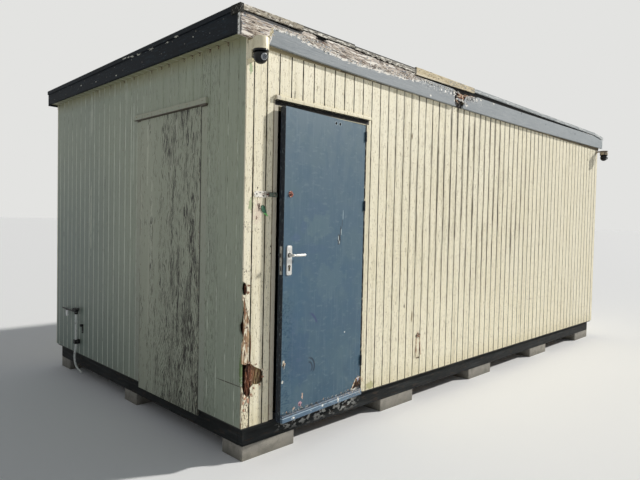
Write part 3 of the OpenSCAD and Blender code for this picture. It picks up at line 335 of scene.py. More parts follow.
def front_marks():
    """Marks of the front wall: bare and flaked corner, rust and green by the hasp, a torn sliver"""
    bare = meet(along(1, -1.5545, -1.5535), along(0, -2.93, -2.95), along(2, 1.06, 1.04))
    dots = meet(patches((9, 9, 16), 0.58, 0.62, detail=3, shift=4), along(0, -2.955, -2.965))
    opened = meet(along(0, -1.75, -1.0), along(0, 1.8, 0.5), along(2, 0.7, 1.3))
    beside = add("ShaderNodeMapRange", {0: from_groove(0, FRONT_START), 1: 0.021, 2: 0.015})
    return [
        ("#3E3319", meet(opened, beside, patches((5, 5, 420), 0.52, 0.55, shift=21))),
        ("#5A4D2E", meet(opened, patches((7, 7, 260), 0.655, 0.68, detail=3, shift=23))),
        ("#4A3E26", (5, 5, 40), 0.672, 0.688, 1.0, 3, 27),
        ("#4A3A28", meet(dots, blot((-2.99, FRONT_FACE, 1.49), (0.05, 0.05, 0.03), ragged=0.1))),
        ("#4A3A28", meet(dots, blot((-2.97, FRONT_FACE, 1.21), (0.06, 0.05, 0.06), ragged=0.1))),
        ("#6A4E38", meet(dots, along(2, 1.05, 0.95))),
        ("#5A4230", meet(
            patches((7, 7, 50), 0.56, 0.6, detail=3, shift=6), along(2, 1.1, 0.7), along(0, -2.93, -2.96))),
        *spots(1, FRONT_FACE,
            ("#DCC8B8", -2.913, 1.57, 0.040, 0.075, 0.7, 10, 0.6),
            ("#5C4A40", -2.905, 1.605, 0.010, 0.026, 0.6, 7),
            ("#7E6656", -2.922, 1.535, 0.006, 0.014, 0.6, 7),
            ("#93A777", -2.967, 1.615, 0.02, 0.045, 0.5, 12, 0.7),
            ("#8F9A63", -2.985, 0.72, 0.03, 0.12, 0.5, 12, 0.7),
            ("#8FA878", -2.983, 2.44, 0.014, 0.035, 0.5, 12, 0.8),
            ("#2E281C", -2.622, 2.345, 0.004, 0.035, 0.35, 8),
            ("#4A4432", 2.640, 2.418, 0.016, 0.012, 0.35, 20),
            ("#4A3A26", -1.159, 0.565, 0.035, 0.024, 0.35, 9),
            ("#54452E", -1.180, 0.46, 0.006, 0.10, 0.35, 8),
            ("#54452E", -1.130, 0.46, 0.006, 0.09, 0.35, 8),
            ("#54452E", -1.150, 0.375, 0.03, 0.008, 0.35, 8),
            ("#4A3A26", -1.364, 0.837, 0.008, 0.016, 0.35, 6),
            ("#6E5A3A", -1.328, 0.96, 0.005, 0.05, 0.35, 6),
            ("#6E5A3A", -1.253, 0.74, 0.008, 0.05, 0.35, 6),
            ("#7A6A4A", -1.316, 2.238, 0.010, 0.03, 0.35, 6),
            ("#2E2A22", -2.805, 1.356, 0.005, 0.006, 0.35, 30),
            ("#2E2A22", -2.805, 1.310, 0.005, 0.006, 0.35, 30),
            ("#3A2C20", -2.918, 1.720, 0.006, 0.008, 0.35, 30),
            ("#9A9A5E", -1.783, 0.262, 0.06, 0.03, 0.5, 12, 0.6)),
        ("#5A472E", meet(
            along(0, -2.8040, -2.8010), along(0, -2.7945, -2.7955), along(2, 2.290, 2.284),
            patches((4, 4, 90), 0.34, 0.42))),
        ("#C2A683", bare),
        ("#8A6446", meet(bare, patches((6, 6, 70), 0.46, 0.54, detail=3))),
        ("#3A241A", meet(bare, patches((5, 5, 60), 0.56, 0.6, detail=3, shift=3))),
        ("#E2DAC2", meet(bare, patches((12, 12, 60), 0.54, 0.58, detail=3, shift=8))),
    ]


# On the front the dark groove colour is dirt and painted shade, wider towards the far end.
cream_paint("old_cream_gloss_front", 0, FRONT_START, "#332914", 1.0, 0.646, front_marks, dirt_and_shade_spread)
dress("front_sheet_left", "front_sheet_over_door", "front_sheet_right")


def plain_marks():
    """Marks of the walls that the weather side doesn't reach"""
    return [
        ("#AEB08E", (300, 300, 260), 0.5, 0.72, 0.4, 2, 9),
        ("#8E9472", along(2, 0.6, 0.23, most=0.35)),
    ]


cream_paint("old_cream_gloss_back", 0, -FRONT_START, "#857C5C", 0.7, 0.68, plain_marks, even_grooves)
dress("back_sheet")
cream_paint("old_cream_gloss_right_end", 1, END_START, "#5F573C", 0.9, 0.68, plain_marks, even_grooves)
dress("right_end_sheet")


def left_end_marks():
    """Marks of the shaded end: a grey-green over the flats that is algae and painted shade, darker and bluer
    lower down and further along; washed grooves with a painted highlight; rust under the soffit
    """
    nails = [blot((END_FACE, y + FRONT_FACE, 2.622), (0.03, 0.009, 0.018), grit_mm=8) for y in SOFFIT_NAILS]
    return [
        ("#83927F", along(2, 2.8, 2.7, most=0.82)),
        ("#8A9184", (500, 500, 900), 0.35, 0.7, 0.35, 2, 3),
        ("#788684", along(2, 1.9, 0.4, most=0.25)),
        ("#66756F", along(1, -0.3, 0.6, most=0.35)),
        ("#5F716F", meet(along(1, -0.1, 1.1), along(2, 2.2, 1.3, most=0.50))),
        ("#8F875C", along(2, 2.52, 2.63, most=0.6)),
        ("#757B70", (9, 9, 400), 0.56, 0.7, 0.45, 2, 11),
        *spots(0, END_FACE,
            ("#B4BBAA", 0.722, 2.45, 0.016, 0.30, 0.5, 60, 0.75),
            ("#B4BBAA", 0.724, 1.48, 0.015, 0.34, 0.5, 60, 0.75),
            ("#AEB5A4", 0.040, 2.50, 0.040, 0.16, 0.5, 50, 0.4),
            ("#B4BBAA", -0.090, 2.10, 0.014, 0.34, 0.5, 60, 0.7)),
        ("#5C5E50", (6, 6, 70), 0.62, 0.66, 0.6, 3, 15),
        *spots(0, END_FACE, ("#3C4238", 0.436, 1.80, 0.006, 0.07, 0.35, 8)),
        ("#4C4E40", meet(
            patches((4, 4, 50), 0.60, 0.63, shift=1), along(1, -1.0, -1.09), along(1, -1.3, -1.22))),
        *spots(0, END_FACE,
            ("#4A463A", -1.43, 0.490, 0.16, 0.0035, 0.15, 14),
            ("#5E7440", -1.54, 0.60, 0.016, 0.10, 0.5, 12, 0.85)),
        ("#4E3826", meet(*nails, how="MAXIMUM")),
    ]


# The left end's grey-green is algae and painted shade, and its light grooves are painted highlight.
cream_paint("old_cream_gloss_left_end_with_painted_shade", 1, END_START, "#DDE2D6", 0.95, 0.69, left_end_marks, faded_upwards)
dress("left_end_sheet", "end_soffits")


def mode(name):
    bpy.ops.object.mode_set(mode=name)


def started(add_shape, **sizes):
    """New piece from one of Blender's own shapes, with nothing else selected"""
    bpy.ops.object.select_all(action="DESELECT")
    add_shape(**sizes)
    return bpy.context.object


def edit_facing(piece, way=1):
    """Opens a piece with only those faces selected that look along +Z, or with -1 along -Z"""
    mode("EDIT")
    bpy.ops.mesh.select_mode(type="FACE")
    bpy.ops.mesh.select_all(action="DESELECT")
    mode("OBJECT")
    for face in piece.data.polygons:
        face.select = face.normal.z * way > 0.9
    mode("EDIT")


def disc(sides, radius, height, *insets):
    """Round piece about Z, its upper face inset by each thickness and depth in turn"""
    piece = started(bpy.ops.mesh.primitive_cylinder_add, vertices=sides, radius=radius, depth=height)
    edit_facing(piece)
    for thickness, depth in insets:
        bpy.ops.mesh.inset(thickness=thickness, depth=depth)
    mode("OBJECT")
    return piece


def join(parts):
    bpy.ops.object.select_all(action="DESELECT")
    for part in parts:
        part.select_set(True)
    bpy.context.view_layer.objects.active = parts[0]
    if len(parts) > 1:
        bpy.ops.object.join()
    return parts[0]


def finished(piece, name, coat, body="cabin"):
    """Names a piece and gives it its body and finish"""
    piece.name = piece.data.name = name
    piece.data.materials.clear()
    piece.data.materials.append(coat)
    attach(piece, body)
    return piece


def copied(name, pattern, places, coat, body="cabin"):
    """Copies a modelled piece to each place, each copy with its own mesh, and joins them"""
    made = []
    for spot in places:
        twin = pattern.copy()
        twin.data = pattern.data.copy()
        twin.data.transform(spot)
        bpy.context.collection.objects.link(twin)
        made.append(twin)
    bpy.data.objects.remove(pattern)
    return finished(join(made), name, coat, body)


def shift(x, y, z):
    return Matrix.Translation((x, y, z))


def stretch(x, y, z):
    return Matrix.Diagonal((x, y, z, 1))


# Turns what is modelled facing +Z towards one of the walls.
FACING = {
    "front": Matrix.Rotation(math.radians(90), 4, "X"),
    "left": Matrix.Rotation(math.radians(-90), 4, "Y"),
    "right": Matrix.Rotation(math.radians(90), 4, "Y"),
    "back": Matrix.Rotation(math.radians(-90), 4, "X"),
}


def at(wall, x, y, z, turn=0.0):
    """Place of a piece on a wall, turned about the wall's normal first"""
    return shift(x, y, z) @ FACING[wall] @ Matrix.Rotation(turn, 4, "Z")


def pin_rows(wall, level, first, count, heights, wanted=lambda run, z: True):
    """Places of a wall's pins: in every other board of a row, and in the boards between in the next"""
    rows = []
    for board in range(count):
        middle = first + GROOVE_PITCH * (board + 0.5)
        for row, z in enumerate(heights):
            if (board + row) % 2 == 0 and wanted(middle, z):
                run, height = middle + draw.uniform(-0.01, 0.01), z + draw.uniform(-0.008, 0.008)
                rows.append(at(wall, *((run, level) if wall in ("front", "back") else (level, run)), height))
    return rows


def clear_of_door(x, z):
    return not (-2.83 < x < -1.85 and z < 2.33) and not (x < -2.85 and z < 1.1)


draw = random.Random(7558)
PIN_HEIGHTS = (0.252, 0.86, 1.46, 2.06, 2.55)
front_rows = pin_rows("front", -1.5553, FRONT_START, 58, PIN_HEIGHTS, clear_of_door)
back_rows = pin_rows("back", 1.5553, FRONT_START, 58, PIN_HEIGHTS)
left_rows = pin_rows("left", -3.0153, END_START, 29, PIN_HEIGHTS[:-1], lambda y, z: y > -0.05)
right_rows = pin_rows("right", 3.0153, END_START, 29, PIN_HEIGHTS)
left_rows += [at("left", -3.0153, y + FRONT_FACE, 2.618) for y in SOFFIT_NAILS]
left_rows += [at("left", -3.0173, y, 0.26 + 0.39 * step) for y in (-1.050, -0.238) for step in range(6)]
left_rows += [at("left", -3.0353, -1.10 + 0.185 * step, 2.300) for step in range(6)]


# Steel pins under the paint, dull and brown where it has come off their heads.
painted_pin = start_finish("rusting_pin_under_paint")
surface(lay("#CFC6A8", [
    ("#8A6A48", 60, 0.45, 0.5, 1.0, 0),
    ("#6A4A30", 3, 0.5, 0.6),
]), 0.6, patches(2, 0.3, 0.7), 0.1)
for wall, rows in (
        ("front", front_rows), ("back", back_rows), ("left_end", left_rows), ("right_end", right_rows)):
    copied("sheet_pins_" + wall, disc(8, 0.0032, 0.0016, (0.0011, 0.0005)), rows, painted_pin)


# Rot at the front left corner: the sheet has split away from the holes, and strands of the brown
# wood behind stand in them, with the broken plies of the sheet still hanging from the edges.
def strand_pattern():
    """Splinter along Z, one unit long and wide: thick at its root and drawn out at both ends"""
    strand = started(bpy.ops.mesh.primitive_cube_add, size=1)
    mode("EDIT")
    bpy.ops.mesh.subdivide(number_cuts=2)
    for way in (1, -1):
        edit_facing(strand, way)
        bpy.ops.transform.resize(value=(0.25, 0.4, 1), center_override=(0.3 * way, 0.25, 0))
    mode("OBJECT")
    for corner in strand.data.vertices:
        if abs(corner.co.z) < 0.2:
            corner.co.x += 0.18 * math.sin(9 * corner.co.z + 2 * corner.co.y)
    return strand


def strand_at(x, y, z, width, depth, length, lean=0.0):
    return shift(x, y, z) @ Matrix.Rotation(lean, 4, "Y") @ stretch(width, depth, length)


corner_strands = []
for step in range(34):
    height = draw.uniform(0.425, 0.615)
    run = draw.uniform(-2.985, -2.868)
    length = draw.uniform(0.03, 0.11)
    height = min(max(height, 0.42 + length / 2), 0.62 - length / 2)
    corner_strands.append(strand_at(
        run, -1.5445, height, draw.uniform(0.005, 0.012), draw.uniform(0.004, 0.014), length,
        draw.uniform(-0.12, 0.12)))
for height in (0.80, 0.84, 0.88, 0.92, 0.96, 1.00, 1.09, 1.12):
    corner_strands.append(strand_at(
        -2.995 + draw.uniform(-0.004, 0.006), -1.5445 + draw.uniform(-0.002, 0.003), height,
        draw.uniform(0.006, 0.012), 0.010, draw.uniform(0.05, 0.09), draw.uniform(-0.1, 0.1)))
frayed_wood = start_finish("frayed_strands_of_softwood")
right_of_hole = along(0, -2.938, -2.922)
surface(lay("#4A2A1C", [
    ("#7A4A30", (6, 6, 50), 0.42, 0.6, 1.0, 3),
    ("#9A8760", meet(right_of_hole, along(2, 0.40, 0.45))),
    ("#4E3A26", meet(right_of_hole, patches((5, 5, 40), 0.5, 0.58, detail=3))),
    ("#C49A84", (5, 5, 30), 0.62, 0.66, 1.0, 3, 4),
]), 0.9, patches((4, 4, 40), 0.35, 0.65, detail=3), 0.8)
copied("rotten_strands", strand_pattern(), corner_strands, frayed_wood)


def thickened(sheet, thickness, offset=-1):
    """Gives a sheet its thickness, to one side or, with an offset of 0, to both"""
    shell = sheet.modifiers.new("thickness", "SOLIDIFY")
    shell.thickness, shell.offset = thickness, offset
    bpy.context.view_layer.objects.active = sheet
    bpy.ops.object.modifier_apply(modifier="thickness")
    return sheet


def curl_pattern(turn_degrees, thickness=0.06):
    """Flake one unit across, facing +Z, lifted at one side: a bent sheet with a real thickness"""
    curl = started(bpy.ops.mesh.primitive_grid_add, x_subdivisions=5, y_subdivisions=3, size=1)
    curl.data.transform(shift(0.5, 0, 0))
    for corner in curl.data.vertices:
        ragged = 0.16 * math.sin(11 * corner.co.x + 5 * corner.co.y)
        corner.co.y *= 1 - 0.45 * corner.co.x
        corner.co.y += ragged * corner.co.x
        bend = math.radians(turn_degrees) * corner.co.x
        if abs(bend) > 1e-4:
            radius = corner.co.x / bend
            corner.co.x, corner.co.z = radius * math.sin(bend), radius * (1 - math.cos(bend))
    return thickened(curl, thickness, 0)


# Broken ply: the pinkish primed back of the veneer, frayed along the grain.
broken_ply = start_finish("broken_ply_under_paint")
ply_fray = patches((9, 9, 40), 0.4, 0.6, detail=3)
surface(lay("#B99A82", [
    ("#9A6A50", ply_fray),
    ("#DFD4BC", 20, 0.52, 0.60),
    ("#5E3826", (5, 5, 30), 0.6, 0.66, 1.0, 2, 3),
]), 0.85, ply_fray, 0.6)
ply_curls = []
for x, z, size, turn in (
        (-2.985, 0.432, 0.028, 3.9), (-2.965, 0.412, 0.030, 4.4), (-2.948, 0.436, 0.020, 5.2),
        (-2.924, 0.478, 0.018, 4.9), (-2.876, 0.489, 0.014, 4.8), (-2.861, 0.530, 0.016, 6.1),
        (-2.862, 0.572, 0.016, 6.5), (-2.905, 0.612, 0.014, 1.9), (-2.962, 0.630, 0.016, 1.7),
        (-2.990, 0.628, 0.014, 1.5), (-2.998, 0.400, 0.022, 4.2), (-3.000, 0.350, 0.016, 5.0),
        (-3.003, 0.76, 0.018, 0.2), (-3.001, 0.86, 0.022, 0.1), (-3.001, 0.96, 0.020, -0.2),
        (-2.987, 1.07, 0.018, 0.4), (-2.986, 1.12, 0.020, -0.3)):
    ply_curls.append(
        at("front", x, FRONT_FACE - 0.0006, z, turn) @ stretch(size, size * draw.uniform(0.7, 1.2), size))
copied("broken_ply_edges", curl_pattern(50, 0.05), ply_curls, broken_ply)

# Torn sliver low on the front: a strip of face veneer that has lifted beside its bare bed.
sliver_places = [
    at("front", x, FRONT_FACE - 0.0006, z, turn) @ stretch(length, width, lift)
    for x, z, turn, length, width, lift in (
        (-1.180, 0.545, -1.62, 0.165, 0.012, 0.05), (-1.131, 0.540, -1.50, 0.150, 0.010, 0.04),
        (-1.168, 0.556, 0.25, 0.045, 0.016, 0.03), (-1.160, 0.568, 1.65, 0.035, 0.012, 0.03))]
copied("torn_veneer_sliver", curl_pattern(24), sliver_places, broken_ply)


# Blanked doorway in the left end: a flat ply panel in the old frame, under the same cream gloss, coloured
# grey-green with painted shade.
# The weather has opened its face in wavy upright checks, most of all in its near half.
start_finish("checked_cream_gloss_with_painted_shade")
wavy = add("ShaderNodeTexNoise", {
    "Vector": spread((160, 160, 190)), "Scale": 1.0, "Detail": 1.0}, out="Color")
wander = add("ShaderNodeVectorMath", {0: wavy, 1: (0.0, 0.11, 0.0)}, out="Vector", operation="MULTIPLY")
wandering = add("ShaderNodeVectorMath", {0: place(), 1: wander}, out="Vector", operation="ADD")


def wavy_checks(width_mm, length_mm, low, shift):
    """Short checks that follow the wandering grain of the panel"""
    fine = add("ShaderNodeMapping", {
        "Vector": wandering, "Location": (shift, shift, shift),
        "Scale": (1000 / width_mm, 1000 / width_mm, 1000 / length_mm)})
    noise = add("ShaderNodeTexNoise", {"Vector": fine, "Scale": 1.0, "Detail": 2.0})
    near_half = along(1, -0.34, -0.70, most=0.105)
    foot = along(2, 1.4, 0.5, most=0.025)
    swarms = patches((60, 60, 480), 0.42, 0.60, most=0.100, shift=5)
    raised = meet(noise, near_half, foot, swarms, how="ADD")
    return add("ShaderNodeMapRange", {0: raised, 1: low, 2: low + 0.025})


def other_than(mask):
    return add("ShaderNodeMath", {0: 1.0, 1: mask}, operation="SUBTRACT")


blank_checks = wavy_checks(6.5, 85, 0.726, 0)
blank_hairs = wavy_checks(4.5, 60, 0.730, 6)

# The cut of the veneer shows as nested arches in the lower part of the near half.
ARCH_MIDDLE, ARCH_STEEPNESS, ARCH_SPACING = -0.86, 2.6, 0.062
from_front, from_ground = (add("ShaderNodeSeparateXYZ", {0: wandering}, out=axis) for axis in (1, 2))
off_middle = add("ShaderNodeMath", {0: meet(from_front, -ARCH_MIDDLE, how="ADD")}, operation="ABSOLUTE")
arch_rise = meet(meet(off_middle, ARCH_STEEPNESS), from_ground, how="ADD")
arch_wave = add("ShaderNodeMath", {0: meet(arch_rise, 2 * math.pi / ARCH_SPACING)}, operation="SINE")
arches = meet(
    add("ShaderNodeMapRange", {0: arch_wave, 1: 0.45, 2: 0.8}),
    patches((7, 7, 50), 0.47, 0.53, detail=3, shift=9), along(2, 1.05, 0.70), along(1, -0.42, -0.60))
# The grey-green ground is painted shade; it is darker towards the foot.
blank_colour = lay("#A6AB98", [
    ("#969C8A", (400, 400, 700), 0.35, 0.65, 0.5, 2, 3),
    ("#8E9488", along(2, 1.6, 0.3, most=0.25)),
    *spots(0, -3.017,
        ("#C2C6B5", -0.330, 2.05, 0.014, 0.30, 0.5, 60, 0.7),
        ("#C2C6B5", -0.400, 1.45, 0.014, 0.45, 0.5, 60, 0.6)),
    ("#9A9B8A", (14, 14, 500), 0.52, 0.7, 0.4),
    ("#C2C2B2", (24, 24, 900), 0.62, 0.72, 0.5, 2, 5),
    ("#4E4D42", blank_hairs),
    ("#282720", blank_checks),
    ("#302F26", arches),
    ("#2E2C24", meet(along(1, -1.060, -1.064), patches((9, 9, 120), 0.40, 0.46, detail=3))),
    ("#5A594E", meet(along(1, -0.227, -0.223), patches((9, 9, 120), 0.45, 0.52, detail=3))),
])
surface(blank_colour, 0.6, other_than(blank_checks), 0.8)
dress("blanked_door_panel")

# The blanked frame and its trim: the same cream gloss, grey-green with painted shade and darker towards the
# foot, with a dark band of painted shadow under the trim.
start_finish("old_cream_gloss_on_planed_softwood_end_with_painted_shade")
surface(lay("#9CA28F", [
    ("#A2A493", (300, 300, 600), 0.35, 0.65, 0.5),
    ("#8A918A", along(2, 1.9, 0.4, most=0.5)),
    ("#6E6B58", (5, 5, 60), 0.62, 0.66),
    ("#A9AA96", along(2, 2.30, 2.312, most=0.6)),
    ("#4A4236", meet(along(2, 2.2815, 2.2785), along(2, 2.262, 2.266))),
]), 0.55, patches((5, 5, 80), 0.35, 0.65), 0.25)
dress("blanked_door_frame", "blanked_door_trim")


# Door frame: planed softwood jambs, head and drip moulding under the same gloss as the wall, chipped to the
# wood along the arrises. Painted shade makes them grey in the rebate and on the latch-side jamb, and dirt and
# painted shadow make the head black under the moulding and a narrow strip down the hinge-side jamb near
# black.
start_finish("old_cream_gloss_on_planed_softwood")
frame_grain = patches((5, 5, 90), 0.32, 0.68, detail=3)
under_drip = meet(along(2, 2.2500, 2.2530), along(2, 2.2849, 2.2842))
surface(lay("#E9E2C8", [
    ("#D9D0B0", (60, 60, 500), 0.42, 0.7, 0.6),
    ("#E4DCC0", frame_grain),
    ("#8A7656", (5, 5, 60), 0.635, 0.67),
    ("#B79A78", meet(patches((9, 9, 26), 0.54, 0.6, detail=4, shift=2), along(2, 0.9, 0.3, most=0.8))),
    # Painted shade: greyer deeper in the rebate and on the latch-side jamb. Dirt and painted shadow: the
    # near-black strip down the hinge side and the black under the moulding.
    ("#9C957C", along(1, -1.553, -1.50, most=0.5)),
    ("#B9B3AC", along(0, -2.755, -2.765, most=0.55)),
    ("#0C0A08", meet(
        along(0, -1.9050, -1.9035), along(0, -1.8895, -1.8915), along(2, 2.252, 2.248),
        patches((6, 6, 30), 0.34, 0.42))),
    ("#060504", meet(under_drip, along(0, -2.792, -2.788))),
    ("#6A6250", meet(under_drip, patches((30, 6, 6), 0.62, 0.66, detail=3))),
]), 0.55, frame_grain, 0.25, Specular_IOR_Level=0.2)
dress("door_jambs", "door_head", "door_drip_trim")

# Eaves battens: rough softwood under the fascias, with old paint runs, coloured dark with dirt and painted
# shade, lighter towards the left end and near black behind the rotten joint.
start_finish("eaves_batten_dirt_and_painted_shade")
surface(lay("#6E6248", [
    ("#41382A", (160, 14, 14), 0.42, 0.62, 1.0, 3),
    ("#B5A887", (60, 20, 12), 0.6, 0.66, 1.0, 3, 4),
    ("#A89C7A", along(0, -2.2, -2.9, most=0.7)),
    ("#17120E", blot((-0.660, -1.565, 2.605), (0.095, 0.05, 0.055), ragged=0.4)),
]), 0.8, patches((90, 6, 6), 0.35, 0.65), 0.3)
dress("eaves_battens")


# Door leaf: a flush ply-faced door under slate blue paint, brushed on in more than one tone.
# It carries scratches, scuffs and old screw holes, and its foot has begun to rot at the hinge side.
def over_line(corners, ragged_mm, size_mm):
    """Mask of what lies above a line of corners in x and z, along an edge that is ragged"""
    height = corners[0][1]
    for (start, low), (end, high) in zip(corners, corners[1:]):
        height = meet(along(0, start, end, most=high - low), height, how="ADD")
    noise = add("ShaderNodeTexNoise", {
        "Vector": spread(size_mm), "Scale": 1.0, "Detail": 4.0, "Roughness": 0.6})
    lifted = add("ShaderNodeMath", {
        0: noise, 1: 4 * ragged_mm / 1000, 2: -2 * ragged_mm / 1000}, operation="MULTIPLY_ADD")
    above = meet(meet(place_along(2), lifted, how="ADD"), height, how="SUBTRACT")
    return add("ShaderNodeMapRange", {0: above, 1: 0.0, 2: 0.0015})


def between(axis, start, end):
    return meet(along(axis, start - 0.001, start + 0.001), along(axis, end + 0.001, end - 0.001))


AJAR = math.radians(4.5)
HINGE_PIN = Vector((-1.9045, -1.563, 0))
SWING = Matrix.Translation(HINGE_PIN) @ Matrix.Rotation(AJAR, 4, "Z") @ Matrix.Translation(-HINGE_PIN)
LEAF_FRONT, LEAF_BACK, LATCH_EDGE = FRONT_FACE, -1.511, -2.757


def on_leaf(x, z):
    """Point of the leaf's front as it hangs ajar, from its place on the closed door"""
    return SWING @ Vector((x, LEAF_FRONT, z))


def leaf_spots(*rows):
    """Coats for ragged spots on the leaf, each row as for spots, with its place on the closed door"""
    return [
        (colour, blot(on_leaf(x, z), (wide, 0.03, high), *more)) for colour, x, z, wide, high, *more in rows]


def leaf_edge():
    """Mask of the leaf's latch edge, from how far a point lies along the leaf as it hangs"""
    from_pin = add("ShaderNodeVectorMath", {0: place(), 1: HINGE_PIN}, out="Vector", operation="SUBTRACT")
    run = add("ShaderNodeVectorMath", {
        0: from_pin, 1: (math.cos(AJAR), math.sin(AJAR), 0)}, out="Value", operation="DOT_PRODUCT")
    return add("ShaderNodeMapRange", {0: run, 1: -0.8515, 2: -0.8522})


def rubbed_arc(x, z, radius, wide, low, high, most):
    """Mask of a curved scuff on the leaf, to the right of its centre and over a span of heights"""
    away = add("ShaderNodeVectorMath", {0: place(), 1: on_leaf(x, z)}, out="Value", operation="DISTANCE")
    off = add("ShaderNodeMath", {0: meet(away, radius, how="SUBTRACT")}, operation="ABSOLUTE")
    line = add("ShaderNodeMapRange", {0: off, 1: wide, 2: wide * 0.4, 3: 0.0, 4: most})
    return meet(
        line, along(0, x, x + 0.01), along(2, low - 0.008, low + 0.008),
        along(2, high + 0.008, high - 0.008))


start_finish("slate_blue_paint_on_flush_ply")
brush_marks = patches((8, 8, 220), 0.3, 0.7, detail=3)
rim_line = over_line([(-2.010, 0.282), (-1.955, 0.350), (-1.900, 0.354)], 4, 14)
rot_line = over_line([(-2.000, 0.276), (-1.954, 0.341), (-1.900, 0.346)], 4, 10)


def under(mask):
    """Mask of the leaf's foot corner that lies under a line"""
    return meet(other_than(mask), along(0, -2.020, -2.010), along(2, 0.262, 0.266))


foot_rot, shaded_latch_edge = under(rot_line), leaf_edge()
door_colour = lay("#3E5B70", [
    ("#4E6674", along(2, 1.2, 2.2, most=0.85)),
    ("#2A4B60", along(2, 1.1, 0.3, most=0.85)),
    ("#4A6470", (300, 300, 240), 0.44, 0.62, 0.6),
    ("#34566C", (150, 150, 200), 0.50, 0.62, 0.45, 3, 14),
    ("#38586B", (70, 70, 90), 0.54, 0.64, 0.5, 3, 4),
    ("#677C88", (14, 14, 220), 0.54, 0.7, 0.25),
    ("#647983", (50, 50, 20), 0.58, 0.68, 0.4, 3, 8),
    *leaf_spots(
        ("#3D5873", -2.49, 1.335, 0.20, 0.035, 0.35, 60, 0.35),
        ("#3D5873", -2.44, 1.60, 0.14, 0.06, 0.5, 40, 0.3),
        ("#475E7C", -2.640, 1.41, 0.045, 0.03, 0.5, 12, 0.5),
        ("#475E7C", -2.571, 1.485, 0.030, 0.045, 0.5, 12, 0.35),
        ("#465F78", -2.648, 0.85, 0.05, 0.07, 0.5, 12, 0.35),
        ("#5C747A", -2.40, 1.50, 0.16, 0.10, 0.6, 70, 0.35),
        ("#566F78", -2.30, 1.12, 0.18, 0.14, 0.6, 80, 0.3),
        ("#2F5470", -2.62, 1.05, 0.10, 0.22, 0.6, 60, 0.3),
        ("#2C4A6A", -2.60, 0.62, 0.12, 0.20, 0.6, 60, 0.35),
        ("#46616E", -2.20, 0.60, 0.16, 0.18, 0.6, 80, 0.3)),
    ("#333F69", rubbed_arc(-2.560, 0.768, 0.155, 0.011, 0.83, 0.90, 0.9)),
    ("#14283C", rubbed_arc(-2.500, 0.535, 0.066, 0.010, 0.50, 0.60, 0.95)),
    ("#14283C", rubbed_arc(-2.500, 0.530, 0.043, 0.010, 0.505, 0.575, 0.85)),
    ("#25485E", meet(
        patches((24, 24, 12), 0.50, 0.57, detail=3, shift=21), along(0, -2.62, -2.70),
        along(2, 1.10, 0.95))),
    *leaf_spots(
        ("#3F5672", -2.588, 0.60, 0.03, 0.014, 0.6, 12, 0.5),
        ("#9FB0B8", -2.153, 1.57, 0.003, 0.040, 0.35, 9), ("#2B3C49", -2.161, 1.51, 0.004, 0.030, 0.35, 7),
        ("#22303B", -2.176, 1.455, 0.009, 0.034, 0.5, 8), ("#A9B8BE", -2.170, 1.450, 0.004, 0.026, 0.5, 7),
        ("#161E26", -2.194, 1.395, 0.019, 0.038, 0.6, 8), ("#B4C0C4", -2.200, 1.402, 0.005, 0.015, 0.6, 7),
        ("#C6CFD0", -2.190, 1.375, 0.004, 0.012, 0.5, 6),
        ("#DDE2E0", -2.106, 0.720, 0.006, 0.006, 0.35, 20),
        ("#A3B4BC", -2.253, 2.208, 0.016, 0.014, 0.2, 12, 0.8),
        ("#A3B4BC", -2.209, 2.208, 0.016, 0.014, 0.2, 12, 0.8),
        ("#D8CDB8", -2.735, 0.597, 0.014, 0.028, 0.5, 9), ("#231A14", -2.738, 0.588, 0.009, 0.018, 0.5, 9),
        ("#C9C7BE", -2.744, 0.484, 0.010, 0.010, 0.35, 9), ("#B98F9A", -2.574, 0.305, 0.018, 0.018, 0.6, 8),
        ("#5A3440", -2.578, 0.300, 0.009, 0.010, 0.35, 8), ("#C2A694", -2.551, 0.352, 0.008, 0.022, 0.6, 8),
        ("#C2B0A4", -2.632, 0.288, 0.012, 0.010, 0.6, 8)),
    ("#D9CFB9", under(rim_line)),
    ("#3A2416", foot_rot),
    ("#7C6038", meet(foot_rot, patches((6, 6, 24), 0.5, 0.56, detail=3))),
    ("#0C0806", meet(foot_rot, along(2, 0.300, 0.288))),
    *leaf_spots(
        ("#B9B8CC", -1.928, 0.335, 0.010, 0.024, 0.5, 9), ("#E4E2D8", -1.968, 0.272, 0.040, 0.008, 0.6, 9)),
    ("#B9BAB4", meet(patches((18, 18, 12), 0.55, 0.6, detail=4, shift=9), along(2, 0.286, 0.270))),
    ("#262B2E", meet(patches((26, 26, 12), 0.50, 0.54, detail=4, shift=2), along(2, 0.280, 0.274))),
    # The latch edge is painted dark navy as painted shade, with paler flecks of wear.
    ("#101C2A", shaded_latch_edge),
    ("#5E6A70", meet(shaded_latch_edge, patches((8, 8, 20), 0.62, 0.66))),
])
surface(door_colour, 0.42, brush_marks, 0.15, Specular_IOR_Level=0.45)
dress("door_leaf")

